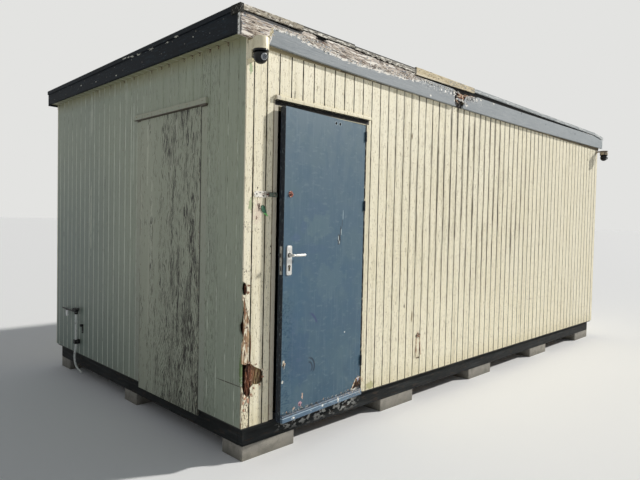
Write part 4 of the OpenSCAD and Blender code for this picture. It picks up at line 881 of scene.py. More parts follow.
# Weather bar: a softwood moulding on the door's foot, painted a brighter blue, worn to the wood in places and
# with spots of white paint on it. The light blue line along its upper arris is worn paint and painted
# highlight.
start_finish("blue_gloss_on_softwood_moulding")
surface(lay("#50697F", [
    ("#445C73", 50, 0.45, 0.7, 0.6),
    ("#7F99AC", (60, 60, 20), 0.55, 0.66, 0.5, 2, 3),
    ("#3A5066", along(2, 0.2535, 0.2555)),
    # Light blue along the upper arris: worn paint and painted highlight.
    ("#A9BCC8", meet(between(2, 0.2490, 0.2535), patches((30, 30, 6), 0.36, 0.42, detail=3))),
    ("#2A3036", meet(along(2, 0.2545, 0.2580), patches((24, 24, 6), 0.50, 0.54, detail=3, shift=5))),
    *leaf_spots(
        ("#E6E6E0", -2.359, 0.246, 0.013, 0.013, 0.35, 14),
        ("#E0DED6", -2.187, 0.244, 0.010, 0.024, 0.5, 9), ("#E0DED6", -2.654, 0.236, 0.022, 0.010, 0.5, 9),
        ("#E6E6E0", -2.48, 0.240, 0.005, 0.005, 0.35, 14)),
    ("#B7A48C", meet(patches(10, 0.6, 0.64, detail=3, shift=3), along(0, -2.4, -2.0))),
]), 0.42, patches((40, 4, 4), 0.35, 0.65), 0.15)
dress("door_weather_bar")

foot_flakes = [
    SWING @ at("front", x, LEAF_FRONT, z, turn) @ stretch(size, size * 0.7, size * 0.8)
    for x, z, size, turn in (
        (-1.990, 0.286, 0.020, 2.6), (-1.975, 0.312, 0.018, 2.2), (-1.955, 0.338, 0.018, 1.8),
        (-1.930, 0.352, 0.014, 1.4), (-1.915, 0.330, 0.014, 0.9), (-2.050, 0.276, 0.014, 1.6),
        (-2.130, 0.275, 0.012, 1.9), (-2.330, 0.276, 0.014, 1.4), (-2.560, 0.276, 0.012, 1.7),
        (-2.640, 0.284, 0.014, 1.2), (-2.700, 0.276, 0.012, 1.9), (-2.733, 0.598, 0.014, 0.4))]
foot_splinters = [
    SWING @ strand_at(x, LEAF_FRONT, z, 0.005, 0.006, length, lean) for x, z, length, lean in (
        (-1.965, 0.300, 0.050, 0.1), (-1.952, 0.306, 0.060, -0.1), (-1.940, 0.300, 0.055, 0.15),
        (-1.928, 0.312, 0.050, 0.0), (-1.975, 0.290, 0.030, 0.3), (-1.920, 0.290, 0.040, -0.2))]
copied("door_foot_flakes", curl_pattern(44), foot_flakes, broken_ply, "door")
copied("door_foot_splinters", strand_pattern(), foot_splinters, rotten_wood, "door")


# Two old screw holes near the top of the door, each a countersunk pit with a rim of chipped paint.
dark_pit = start_finish("dirty_bare_wood_pit")
surface(lay("#080706", [("#3A3630", 5, 0.60, 0.66)]), 0.9, Specular_IOR_Level=0.1)
old_hole = disc(16, 0.0095, 0.0012, (0.0018, 0.0), (0.0022, -0.0004))
old_hole.data.transform(shift(0, 0, 0.0002))
hole_places = [SWING @ at("front", x, LEAF_FRONT, 2.208) for x in (-2.253, -2.209)]
copied("old_screw_holes", old_hole, hole_places, dark_pit, "door")


# Hinges: pressed steel butts with fixed pins, painted over dark and rusting at the knuckles.
# Each flap is let in and held by three countersunk screws.
hinge_steel = start_finish("painted_over_pressed_steel")
surface(lay("#20272D", [
    ("#38424A", 14, 0.5, 0.62, 0.8),
    ("#6E4430", 5, 0.6, 0.66, 1.0, 3),
]), 0.5, patches(3, 0.35, 0.65), 0.15, Metallic=0.3)
dress("hinge_frame_leaves", "hinge_door_leaves")


def screw_pattern(radius, slot_turn=0.4):
    """Countersunk screw head facing +Z, with a driven slot across it"""
    screw = disc(16, radius, radius * 0.24, (radius * 0.22, radius * 0.06))
    mode("EDIT")
    for side in (1, -1, 1):
        bpy.ops.mesh.bisect(plane_co=(0, 0.10 * radius * side, 0), plane_no=(0, 1, 0))
        bpy.ops.mesh.select_all(action="SELECT")
    bpy.ops.mesh.select_all(action="DESELECT")
    mode("OBJECT")
    top = max(corner.co.z for corner in screw.data.vertices)
    for face in screw.data.polygons:
        face.select = (
            face.normal.z > 0.9 and abs(face.center.y) < 0.09 * radius and face.center.z > top - 1e-6)
    mode("EDIT")
    bpy.ops.mesh.extrude_region_move(TRANSFORM_OT_translate={"value": (0, 0, -0.14 * radius)})
    bpy.ops.mesh.select_all(action="SELECT")
    bpy.ops.mesh.normals_make_consistent(inside=False)
    mode("OBJECT")
    screw.data.transform(Matrix.Rotation(slot_turn, 4, "Z"))
    return screw


FLAP_SCREWS = [(z + step, deep) for z in (0.480, 1.643, 2.160) for step, deep in (
    (-0.027, 0.010), (0.0, 0.024), (0.027, 0.010))]
face_left, face_right = FACING["left"], FACING["right"]
frame_screws = [shift(-1.90380, LEAF_FRONT + deep + 0.002, z) @ face_left for z, deep in FLAP_SCREWS]
door_screws = [SWING @ shift(-1.90520, LEAF_FRONT + deep + 0.002, z) @ face_right for z, deep in FLAP_SCREWS]
copied("hinge_frame_screws", screw_pattern(0.0034), frame_screws, hinge_steel)
copied("hinge_door_screws", screw_pattern(0.0034, 1.1), door_screws, hinge_steel, "door")


# Handles: long plates and turned levers in satin anodised aluminium, on one spindle through the
# leaf, over a euro-profile lock cylinder of tarnished brass.
def eased(piece, width, angle=30):
    """Turns or planes off a piece's edges"""
    bpy.context.view_layer.objects.active = piece
    ease_modifier(piece, width, angle)
    bpy.ops.object.modifier_apply(modifier="eased")
    return piece


def ease_modifier(piece, width, angle):
    ease = piece.modifiers.new("eased", "BEVEL")
    ease.width = width
    ease.segments = 2
    ease.limit_method = "ANGLE"
    ease.angle_limit = math.radians(angle)


def smooth(angle):
    bpy.ops.object.shade_smooth_by_angle(angle=math.radians(angle))


def smoothed(source, width, coat, body="cabin", angle=40):
    """Copy of a CAD piece with its corners eased, which stands for it in the picture"""
    bpy.ops.object.select_all(action="DESELECT")
    twin = nodes[source].copy()
    twin.data = nodes[source].data.copy()
    twin.parent = None
    twin.matrix_world = Matrix.Identity(4)
    bpy.context.collection.objects.link(twin)
    bpy.context.view_layer.objects.active = twin
    twin.select_set(True)
    mode("EDIT")
    bpy.ops.mesh.select_all(action="SELECT")
    bpy.ops.mesh.remove_doubles(threshold=0.00002)
    bpy.ops.mesh.dissolve_limited(angle_limit=math.radians(1))
    mode("OBJECT")
    if width:
        eased(twin, width, angle)
    smooth(angle)
    finished(twin, "eased_" + source, coat, body)
    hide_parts(source)


silver = start_finish("satin_anodised_aluminium")
surface(lay("#DADAD6", [
    ("#C3C3BF", (20, 20, 40), 0.45, 0.7, 0.5),
    ("#8C8A84", 3, 0.66, 0.7),
]), 0.38, patches((1.5, 1.5, 20), 0.35, 0.65), 0.03, Metallic=0.55)
smoothed("handle_plates", 0.0018, silver, "door")
smoothed("lever_handle", 0.0012, silver, "lever")

start_finish("tarnished_brass")
surface(lay("#6A5F45", [
    ("#3A3427", 6, 0.42, 0.58),
]), 0.45, patches(2, 0.35, 0.65), 0.05, Metallic=0.7)
dress("lock_cylinder")

SPINDLE_X, SPINDLE_Z, PLATE_Z, CYLINDER_Z = -2.707, 1.300, 1.266, 1.228
plate_faces = (("front", LEAF_FRONT - 0.007), ("back", LEAF_BACK + 0.007))
plate_screws = [
    SWING @ at(wall, SPINDLE_X, y, PLATE_Z + step)
    for wall, y in plate_faces for step in (-0.083, 0.083)]
copied("handle_plate_screws", screw_pattern(0.0045), plate_screws, silver, "door")


def ring_pattern(outer, inner, height):
    """Collar about Z, turned with an eased upper edge"""
    ring = started(bpy.ops.mesh.primitive_cylinder_add, vertices=32, radius=outer, depth=height)
    for way in (1, -1):
        edit_facing(ring, way)
        bpy.ops.mesh.inset(thickness=outer - inner, depth=0)
        bpy.ops.mesh.delete(type="ONLY_FACE")
    bpy.ops.mesh.select_all(action="DESELECT")
    mode("OBJECT")
    for edge in ring.data.edges:
        ends = [ring.data.vertices[end].co for end in edge.vertices]
        edge.select = all(abs(end.xy.length - inner) < 1e-5 for end in ends)
    mode("EDIT")
    bpy.ops.mesh.select_mode(type="EDGE")
    bpy.ops.mesh.bridge_edge_loops()
    bpy.ops.mesh.select_mode(type="FACE")
    bpy.ops.mesh.select_all(action="SELECT")
    bpy.ops.mesh.normals_make_consistent(inside=False)
    mode("OBJECT")
    eased(ring, min(outer - inner, height) * 0.25)
    smooth(35)
    return ring


dark_collar = start_finish("dull_cast_zinc_collar")
surface(lay("#4A4A48", [
    ("#77756E", 5, 0.5, 0.62),
]), 0.5, patches(2, 0.35, 0.65), 0.06, Metallic=0.6)
collar_places = [SWING @ at(wall, SPINDLE_X, y, SPINDLE_Z) @ shift(0, 0, 0.002) for wall, y in plate_faces]
copied(
    "spindle_collars", ring_pattern(0.0145, 0.0104, 0.004), collar_places, dark_collar,
    "door")


def keyway_pattern():
    """Upright key slot facing +Z, in a low round plug"""
    plug = disc(24, 0.0062, 0.0012, (0.0016, 0.0002), (0.0008, -0.0010))
    mode("EDIT")
    bpy.ops.transform.resize(value=(0.3, 1.15, 1))
    mode("OBJECT")
    return plug


keyway_places = [
    SWING @ at(wall, SPINDLE_X, y + step, CYLINDER_Z)
    for (wall, y), step in zip(plate_faces, (-0.0033, 0.0033))]
copied("keyways", keyway_pattern(), keyway_places, dark_collar, "door")

# Lock forend: a zinc-plated strip let into the edge of the leaf, with the latch and the deadbolt
# drawn nearly flush in it, and a screw at each end.
dull_zinc = start_finish("dull_zinc_plated_steel")
surface(lay("#C9C9C4", [
    ("#96968F", (9, 9, 14), 0.46, 0.62, 0.8),
    ("#57463A", 5, 0.60, 0.65, 1.0, 3),
]), 0.45, patches(3, 0.35, 0.65), 0.08, Metallic=0.4)
dress("lock_forend")
FOREND_Y = -1.533
JAMB_FACE = -2.762
forend_screws = [
    SWING @ shift(LATCH_EDGE, FOREND_Y, PLATE_Z + step) @ face_left
    for step in (-0.079, 0.079)]
copied("forend_screws", screw_pattern(0.0036, 0.9), forend_screws, dull_zinc, "door")


def bolt_pattern(width, height, proud, slope):
    """Bolt end facing +Z, with eased corners, and one side sloped on a latch"""
    bolt = started(bpy.ops.mesh.primitive_cube_add, size=1)
    bolt.data.transform(stretch(height, width, 2 * proud))
    edit_facing(bolt)
    bpy.ops.mesh.inset(thickness=0.0008, depth=0)
    bpy.ops.transform.translate(value=(0, slope, 0))
    mode("OBJECT")
    return eased(bolt, 0.0004)


latch_place = SWING @ shift(LATCH_EDGE, FOREND_Y, SPINDLE_Z - 0.002) @ face_left
dead_place = SWING @ shift(LATCH_EDGE, FOREND_Y, CYLINDER_Z - 0.014) @ face_left
copied("latch_bolt", bolt_pattern(0.012, 0.026, 0.0022, 0.002), [latch_place], dark_collar, "door")
copied("dead_bolt", bolt_pattern(0.010, 0.032, 0.0012, 0.0), [dead_place], dark_collar, "door")

# Keep: a thin plate let into the jamb, with a mouth for each bolt.
keep = started(bpy.ops.mesh.primitive_grid_add, x_subdivisions=5, y_subdivisions=3, size=1)
keep_rows = (-0.090, -0.058, -0.018, 0.014, 0.056, 0.090)
keep_lines = (-0.012, -0.006, 0.006, 0.012)
for corner in keep.data.vertices:
    row, line = round((corner.co.x + 0.5) * 5), round((corner.co.y + 0.5) * 3)
    corner.co = (keep_rows[row], keep_lines[line], 0)
for face in keep.data.polygons:
    face.select = abs(face.center.y) < 0.005 and (
        -0.058 < face.center.x < -0.018 or 0.014 < face.center.x < 0.056)
mode("EDIT")
bpy.ops.mesh.inset(thickness=0.0008, depth=-0.004)
mode("OBJECT")
keep.data.transform(shift(JAMB_FACE + 0.0003, FOREND_Y, PLATE_Z) @ face_right)
finished(keep, "lock_keep", dull_zinc)


# Hasp: a zinc-plated steel hasp screwed to the wall, its strap under a film of green algae,
# and on the door a rusty welded staple on a round rose.
start_finish("weathered_zinc_plated_hasp")
surface(lay("#E9E6DC", [
    ("#B3B0A4", 14, 0.5, 0.6, 0.8),
    ("#8A5A44", 7, 0.6, 0.65, 1.0, 3),
    ("#5C3A30", along(0, -2.852, -2.842, most=0.9)),
]), 0.5, patches(3, 0.35, 0.65), 0.12, Metallic=0.25)
dress("hasp_wall_leaf")
start_finish("zinc_plated_strap_with_algae")
surface(lay("#5E6A60", [
    ("#46504A", 12, 0.42, 0.6),
    ("#7E8A7A", 6, 0.56, 0.62, 1.0, 3, 2),
    ("#5A2E26", along(0, -2.828, -2.842, most=0.9)),
]), 0.55, patches(3, 0.35, 0.65), 0.12, Metallic=0.3)
dress("hasp_strap")
rusty_steel = start_finish("rusted_steel_staple")
surface(lay("#8E3E2A", [
    ("#4A1C14", 8, 0.45, 0.6),
    ("#E8BCA8", 7, 0.54, 0.58, 1.0, 3),
    ("#1E0E0C", 5, 0.56, 0.60, 1.0, 2, 3),
]), 0.75, patches(2.5, 0.3, 0.7), 0.3, Metallic=0.2)
smoothed("hasp_staple", 0.0006, rusty_steel, "door")
hasp_screws = [
    at("front", x, -1.5575, 1.682 + step) for x, step in ((-2.925, 0), (-2.900, 0.009), (-2.874, -0.009))]
copied("hasp_screws", screw_pattern(0.0050, 0.7), hasp_screws, dark_collar)

# A scrap of green plastic tape, folded over once, is stuck to the wall under the hasp.
tape = started(bpy.ops.mesh.primitive_grid_add, x_subdivisions=5, y_subdivisions=9, size=1)
for corner in tape.data.vertices:
    across, down = corner.co.x, 0.5 - corner.co.y
    width = 0.014 + 0.024 * math.sin(math.pi * min(1, down * 1.15))
    fold = max(0.0, down - 0.72)
    corner.co = (
        -2.876 + across * width + 0.03 * down * down,
        -1.5562 - 0.004 * math.sin(math.pi * down) - 0.045 * fold,
        1.615 - 0.068 * down)
thickened(tape, 0.0004)
bpy.ops.object.shade_smooth()
green_tape = start_finish("soft_pvc_tape")
surface(lay("#2E6A4C", [
    ("#1F4E38", 12, 0.45, 0.6, 0.6),
    ("#7ADB74", along(2, 1.567, 1.562)),
]), 0.35, patches(4, 0.3, 0.7), 0.2)
finished(tape, "green_tape_scrap", green_tape)


# Front fascia: two softwood boards that sag between the ends, under flaking grey-blue paint.
# Left of the slanting joint and along the upper edge the wood is bare, and the middle joint is rotten.
FASCIA_Y, FASCIA_HEIGHT = -1.587, 0.143
BARE_LINE = [
    (-3.10, 2.55), (-2.893, 2.55), (-2.832, 2.712), (-2.649, 2.716), (-2.589, 2.694), (-2.435, 2.686),
    (-2.270, 2.672), (-2.167, 2.665), (-1.900, 2.664), (-1.486, 2.674), (-1.290, 2.694), (-1.180, 2.722),
    (-1.000, 2.740), (-0.640, 2.760)]
fascia_paint = start_finish("flaking_grey_blue_paint_on_softwood_board")
bare_grain = patches((95, 11, 8), 0.35, 0.62, detail=4)
bare_wood = lay("#D3C6B8", [
    ("#ABA197", bare_grain),
    ("#F0EADF", (130, 20, 14), 0.5, 0.58, 1.0, 3, 3),
    ("#6A584C", (100, 10, 8), 0.55, 0.59, 1.0, 3, 6),
    ("#332822", (70, 12, 10), 0.60, 0.63, 1.0, 3, 8),
    ("#8F97A0", (34, 12, 8), 0.6, 0.63, 1.0, 4, 11),
])
bare = over_line(BARE_LINE, 16, (34, 14, 12))
flaky = over_line([(x, z - 0.010) for x, z in BARE_LINE], 18, (26, 12, 10))
specks = meet(
    patches((17, 10, 11), 0.60, 0.625, detail=2, shift=4), along(2, 2.640, 2.685), along(0, -1.36, -1.20),
    along(0, -0.16, -0.34))
dark_specks = meet(
    patches((16, 9, 9), 0.60, 0.63, detail=3, shift=14), along(2, 2.630, 2.680), along(0, -1.40, -1.24),
    along(0, -0.30, -0.44))
painted = lay("#8B9297", [
    ("#7C848A", (300, 60, 60), 0.4, 0.68, 0.7),
    ("#979D9F", (90, 40, 12), 0.5, 0.7, 0.5, 2, 2),
    ("#949DA1", along(0, 1.0, 3.0, most=0.5)),
    ("#5C666E", (24, 9, 3), 0.66, 0.7, 1.0, 2, 5),
    ("#D2CEC4", (16, 9, 9), 0.69, 0.72, 1.0, 3, 9),
    ("#2A2A2C", dark_specks),
    ("#EFEDE6", specks),
    ("#E6E2DA", flaky),
])
fascia_colour = add("ShaderNodeMix", {0: bare, 6: painted, 7: bare_wood}, out=2, data_type="RGBA")
# The end grain at the fascia's left end is painted near white as painted light, against the shade it faces.
left_end = along(0, -3.0935, -3.0945)
fascia_colour = lay(fascia_colour, [
    # Between x -3.07 and -2.60 the fascia's top, under the trim's lip, is painted near black as painted
    # shadow.
    ("#17181A", meet(between(0, -3.07, -2.60), over_line([(-3.07, 2.732), (-2.60, 2.730)], 3, (30, 9, 9)))),
    ("#F2F2EC", left_end),
    ("#6E6A60", meet(left_end, patches((9, 9, 20), 0.55, 0.6, detail=3))),
    ("#141412", meet(
        along(0, -3.081, -3.084), along(1, -1.584, -1.5855), patches((9, 9, 50), 0.36, 0.40, detail=3))),
    *spots(1, FASCIA_Y,
        ("#C2B694", -2.876, 2.640, 0.012, 0.018, 0.3, 12),
        ("#C2B694", -2.862, 2.665, 0.010, 0.022, 0.3, 12),
        ("#C2B694", -2.848, 2.694, 0.010, 0.024, 0.3, 12),
        ("#2A201A", -2.420, 2.738, 0.060, 0.017, 0.5, 12), ("#6A4A34", -2.396, 2.722, 0.022, 0.010, 0.5, 8),
        ("#1A1A1D", -1.165, 2.708, 0.022, 0.010, 0.5, 9), ("#1A1A1D", -1.100, 2.698, 0.020, 0.011, 0.5, 9),
        ("#2A2A2C", -1.010, 2.706, 0.014, 0.008, 0.5, 9), ("#17151A", -0.690, 2.684, 0.050, 0.040, 0.5, 14),
        ("#F4F2EC", -0.748, 2.700, 0.016, 0.026, 0.5, 9), ("#F4F2EC", -0.722, 2.668, 0.016, 0.022, 0.5, 9),
        ("#EDE8E0", -0.682, 2.646, 0.024, 0.012, 0.5, 9), ("#B5714E", -0.626, 2.684, 0.050, 0.026, 0.5, 9),
        ("#100E0E", -0.650, 2.618, 0.062, 0.032, 0.6, 14), ("#F4F1EA", -0.610, 2.646, 0.030, 0.018, 0.5, 9),
        ("#F0EDE6", -0.572, 2.628, 0.034, 0.014, 0.6, 9), ("#DAD8D2", -0.530, 2.612, 0.026, 0.011, 0.6, 9)),
    ("#101116", meet(
        blot((-0.49, -1.587, 2.698), (0.15, 0.03, 0.040), ragged=0.5, grit_mm=18),
        patches((15, 15, 12), 0.44, 0.47, detail=3, shift=7))),
    ("#F2F0E9", meet(
        blot((-0.47, -1.587, 2.700), (0.15, 0.03, 0.036), ragged=0.5, grit_mm=18),
        patches((15, 15, 11), 0.56, 0.59, detail=3, shift=8))),
    *spots(1, FASCIA_Y,
        ("#EFEDE6", -0.350, 2.692, 0.013, 0.012, 0.6, 9), ("#E4E2DA", -0.271, 2.707, 0.015, 0.009, 0.6, 9),
        ("#F4F2EC", -0.950, 2.681, 0.012, 0.010, 0.5, 9), ("#F4F2EC", -0.888, 2.677, 0.011, 0.010, 0.5, 9),
        ("#E9E7E0", -0.799, 2.676, 0.013, 0.012, 0.5, 9), ("#DDDBD4", -0.739, 2.625, 0.011, 0.009, 0.5, 9),
        ("#ECEAE2", -1.111, 2.601, 0.014, 0.009, 0.5, 9), ("#D8D6CC", -0.023, 2.714, 0.014, 0.010, 0.6, 9),
        ("#5A6066", 0.587, 2.715, 0.016, 0.010, 0.6, 9), ("#58626A", 1.208, 2.684, 0.012, 0.008, 0.6, 9),
        ("#5F686E", 2.091, 2.689, 0.022, 0.010, 0.6, 9)),
])
surface(fascia_colour, 0.66, bare_grain, 0.5)
dress("front_fascia")


def fascia_bottom(x):
    return 2.613 - 0.034 * math.sin(math.pi * ((x + 3.095) / 6.19) ** 0.75)


def bare_edge(x):
    """Height of the paint's upper edge on the front fascia"""
    for (start, low), (end, high) in zip(BARE_LINE, BARE_LINE[1:]):
        if start <= x <= end:
            return low + (high - low) * (x - start) / (end - start)
    return BARE_LINE[-1][1]


flake_places, splinter_places = [], []
for step in range(190):
    x = draw.uniform(-2.86, -0.66)
    low = max(bare_edge(x), fascia_bottom(x) + 0.012)
    z = min(low + draw.uniform(-0.008, 0.034), 2.742, fascia_bottom(x) + 0.132)
    turn = draw.choice((0, math.pi)) + draw.uniform(-0.6, 0.6)
    z = min(z, fascia_bottom(x) + FASCIA_HEIGHT - 0.018)
    flake_places.append(at("front", x, FASCIA_Y, z, turn) @ stretch(
        draw.uniform(0.010, 0.026), draw.uniform(0.006, 0.013), draw.uniform(0.008, 0.014)))
for step in range(95):
    x = draw.uniform(-3.040, -2.930) if step < 45 else draw.uniform(-2.80, -1.25)
    low = max(bare_edge(x) + 0.006, fascia_bottom(x) + 0.008)
    z = draw.uniform(low, max(low + 0.004, min(2.738, fascia_bottom(x) + 0.136)))
    splinter_places.append(strand_at(
        x, FASCIA_Y - 0.00002 * step, z, draw.uniform(0.0030, 0.0065), 0.0035, draw.uniform(0.03, 0.09),
        math.pi / 2 + draw.uniform(-0.10, 0.10)))
bare_softwood = start_finish("bare_weathered_softwood")
loose_grain = patches((40, 7, 6), 0.38, 0.6, detail=3)
surface(lay("#D8CCBE", [
    ("#B0A498", loose_grain),
    ("#85766A", (24, 6, 6), 0.58, 0.63, 1.0, 2, 3),
]), 0.85, loose_grain, 0.4)
loose_paint = start_finish("lifted_flakes_of_paint")
surface(lay("#DCD8CE", [
    ("#A9B0B6", 12, 0.5, 0.58),
    ("#8A7868", 9, 0.62, 0.66, 1.0, 2, 3),
]), 0.7, patches(4, 0.35, 0.65), 0.2)
copied("fascia_paint_flakes", curl_pattern(46), flake_places, loose_paint)
copied("fascia_splinters", strand_pattern(), splinter_places, bare_softwood)


# Split laths: along the bare length the fascia's upper edge has come apart with the grain, and its
# laths stand up to the trim, with a rotten hole between the first and the next.
def fascia_top(x):
    return fascia_bottom(x) + FASCIA_HEIGHT


def trim_underside(x):
    return 2.758 if x < -2.594 else 2.764 if x < -2.085 else 2.757 - 0.0175 * (x + 2.083)


def ragged_strip(start, end, low, high, face_y, thickness, ragged, drawn_out=0.0):
    """Strip along the front between two heights that x gives, with ragged edges and drawn-out ends"""
    strip = started(
        bpy.ops.mesh.primitive_grid_add, x_subdivisions=int((end - start) / 0.014), y_subdivisions=3, size=1)
    for corner in strip.data.vertices:
        x, share = start + (end - start) * (corner.co.x + 0.5), corner.co.y + 0.5
        stray = draw.uniform(-ragged, ragged) if share < 0.01 or share > 0.99 else 0.0
        grown = min(1.0, 0.12 + min(x - start, end - x) / drawn_out) if drawn_out else 1.0
        middle, height = (low(x) + high(x)) / 2, (high(x) - low(x)) * grown
        corner.co = (
            x, face_y + 0.0005 * math.sin(40 * x + 5 * share), middle + height * (share - 0.5) + stray)
    return thickened(strip, thickness)


def half_way(x):
    return (fascia_top(x) + trim_underside(x)) / 2


laths = [
    ragged_strip(start, end, low, high, face_y, 0.010, 0.0035, drawn_out)
    for start, end, low, high, face_y, drawn_out in (
        (-2.640, -2.455, lambda x: fascia_top(x) - 0.006, lambda x: trim_underside(x) - 0.006, -1.5874, 0.07),
        (-2.400, -1.345, lambda x: fascia_top(x) - 0.007, lambda x: half_way(x) + 0.003, -1.5880, 0.06),
        (-2.370, -1.770, lambda x: half_way(x) - 0.004, lambda x: trim_underside(x) - 0.008, -1.5868, 0.09),
        (-1.830, -1.350, lambda x: half_way(x) - 0.005, lambda x: trim_underside(x) - 0.013, -1.5872, 0.08))]
finished(join(laths), "fascia_split_laths", fascia_paint)

# Splinters that stand in the rotten joint, most along the grain and some fallen across it.
joint_splinters = [
    strand_at(x, -1.583 - 0.01 * width, z, width, 0.008, length, math.pi / 2 + lean)
    for x, z, width, length, lean in (
        (-0.645, 2.695, 0.012, 0.12, 0.10), (-0.620, 2.683, 0.009, 0.10, 0.22),
        (-0.655, 2.674, 0.008, 0.09, -0.12), (-0.605, 2.668, 0.008, 0.07, 0.35),
        (-0.560, 2.690, 0.008, 0.09, 0.15), (-0.520, 2.703, 0.007, 0.10, 0.05),
        (-0.470, 2.700, 0.006, 0.09, -0.08), (-0.430, 2.712, 0.006, 0.08, 0.04),
        (-0.690, 2.625, 0.006, 0.05, 0.5))]
copied("rotten_joint_splinters", strand_pattern(), joint_splinters, broken_ply)
joint_flakes = [
    at("front", x, FASCIA_Y, z, turn) @ stretch(size, size * 0.6, size)
    for x, z, size, turn in (
        (-0.752, 2.716, 0.030, -1.7), (-0.757, 2.690, 0.024, -1.3), (-0.616, 2.652, 0.040, -0.9),
        (-0.583, 2.642, 0.036, -2.2), (-0.560, 2.632, 0.030, -0.5), (-0.530, 2.655, 0.020, 0.4),
        (-0.500, 2.672, 0.018, 2.6), (-0.342, 2.696, 0.018, -1.2), (-0.266, 2.712, 0.014, 0.3),
        (-0.700, 2.640, 0.018, 2.0), (-0.395, 2.715, 0.016, -0.4), (-0.450, 2.690, 0.014, 0.9))]
copied("rotten_joint_flakes", curl_pattern(60), joint_flakes, loose_paint)


# Roof edge trim along the front: lengths of sawn softwood, older and greyer from one to the next,
# and one fresh length over the middle. Galvanised clout nails hold each down.
trim_wood = start_finish("weathered_sawn_softwood_trim")
trim_grain = patches((80, 8, 7), 0.35, 0.62, detail=3)
grey, fresh = between(0, -2.594, -1.341), between(0, -1.341, -0.414)
painted_over = along(0, -0.414, -0.412)
trim_colour = lay("#C4BBA8", [
    ("#8E8676", trim_grain),
    ("#D9D4C8", (44, 20, 18), 0.50, 0.58, 1.0, 3, 2),
    ("#54463A", (26, 9, 8), 0.58, 0.61, 1.0, 3, 5),
    ("#7A776E", (60, 9, 9), 0.60, 0.64, 1.0, 3, 12),
    ("#A6A298", grey),
    ("#77736B", meet(grey, trim_grain)),
    ("#EDE9DE", meet(grey, patches((60, 14, 9), 0.52, 0.56, detail=3, shift=7))),
    ("#3E3833", meet(grey, patches((22, 9, 8), 0.6, 0.63, detail=3, shift=9))),
    ("#262522", meet(between(0, -2.594, -2.084), along(1, -1.580, -1.585), along(2, 2.780, 2.783))),
    ("#262522", meet(between(0, -2.084, -1.341), along(1, -1.580, -1.585), along(2, 2.770, 2.773))),
    ("#D2C4A4", fresh),
    ("#AC9C7A", meet(fresh, patches((70, 9, 9), 0.46, 0.62, detail=4))),
    ("#806C4E", meet(fresh, patches((36, 8, 7), 0.60, 0.64, detail=3, shift=3))),
    # The fresh length is painted lighter along its lower part as painted highlight.
    ("#E8DDC4", meet(fresh, along(2, 2.748, 2.738, most=0.7))),
    ("#98958A", meet(between(0, -0.85, -0.414), patches((40, 12, 9), 0.50, 0.58, detail=3, shift=16))),
    ("#969C9F", painted_over),
    ("#C2C6C6", meet(painted_over, patches((150, 9, 7), 0.5, 0.58, shift=4))),
    ("#5E666B", meet(painted_over, patches((60, 9, 9), 0.6, 0.66, shift=6))),
])
surface(trim_colour, 0.8, trim_grain, 0.4)
dress("front_edge_trim")

# The fresh length is a deeper board than its neighbours, planed, with its lower arris eased.
fresh_board = ragged_strip(
    -1.344, -0.411, lambda x: 2.731 + 0.015 * (x + 1.341), lambda x: 2.7895, -1.5993, 0.012, 0.0006)
eased(fresh_board, 0.0015, 50)
finished(fresh_board, "fresh_trim_board", trim_wood)

# End and back fascias and their trims: softwood under dark navy paint, darkened to near black with painted
# shade, chipped along the edges. The cap over the front left corner has worn down to a dark grey, near black
# with painted shade, flecked paler.
start_finish("dark_navy_paint_and_painted_shade_on_softwood_board")
cap_area = meet(along(0, -3.066, -3.070), along(1, -1.500, -1.512), along(2, 2.735, 2.737))
chips = [
    blot((-3.10, y, z), (0.05, long, 0.0045), ragged=0.9, grit_mm=9)
    for y, z, long in (
        (-0.108, 2.753, 0.03), (-0.170, 2.749, 0.02), (-0.226, 2.745, 0.03), (-0.323, 2.741, 0.03),
        (0.056, 2.652, 0.012), (0.767, 2.685, 0.014), (0.446, 2.667, 0.010), (-1.077, 2.705, 0.008),
        (-0.870, 2.751, 0.02), (-0.517, 2.742, 0.03), (-0.746, 2.741, 0.02))]
navy_colour = lay("#10171E", [
    ("#0A1015", (60, 400, 60), 0.42, 0.68, 0.7),
    ("#1E2A33", (30, 120, 12), 0.55, 0.68, 0.6, 2, 2),
    ("#56626A", (9, 40, 5), 0.66, 0.70, 1.0, 3, 5),
    ("#C9C9BE", meet(*chips, how="MAXIMUM")),
    ("#242420", cap_area),
    ("#11110F", meet(cap_area, patches((10, 10, 16), 0.5, 0.56, detail=3))),
    ("#8E8C82", meet(cap_area, patches((7, 7, 12), 0.60, 0.64, detail=3, shift=4))),
])
surface(navy_colour, 0.75, patches((6, 90, 6), 0.35, 0.65), 0.25, Specular_IOR_Level=0.2)
dress("end_fascias", "back_fascia", "end_edge_trims", "back_edge_trim")


def felt_top(y):
    return 2.774 - 0.035 * (y + 1.565) / 3.13


def nail_pattern():
    """Clout nail head facing +Z, domed a little and driven flush"""
    return disc(12, 0.0046, 0.0012, (0.0016, 0.0003))


nail_places = []
for step in range(40):
    x = -3.045 + 0.145 * step
    face_y = -1.592 if -2.594 < x < -1.341 else -1.5995 if -1.341 <= x < -0.414 else -1.595
    if not -2.1 < x < -1.33:
        nail_places.append(
            at("front", x + draw.uniform(-0.01, 0.01), face_y, 2.764 + draw.uniform(-0.005, 0.006)))
for step in range(20):
    y = -1.42 + 0.15 * step
    for wall, x in (("left", -3.095), ("right", 3.095)):
        nail_places.append(
            at(wall, x, y + draw.uniform(-0.01, 0.01), felt_top(y) - 0.035 - 0.05 * (step % 2)))
    nail_places.append(at("back", -2.9 + 0.3 * step, 1.5860, 2.720))
copied("trim_clout_nails", nail_pattern(), nail_places, dark_collar)


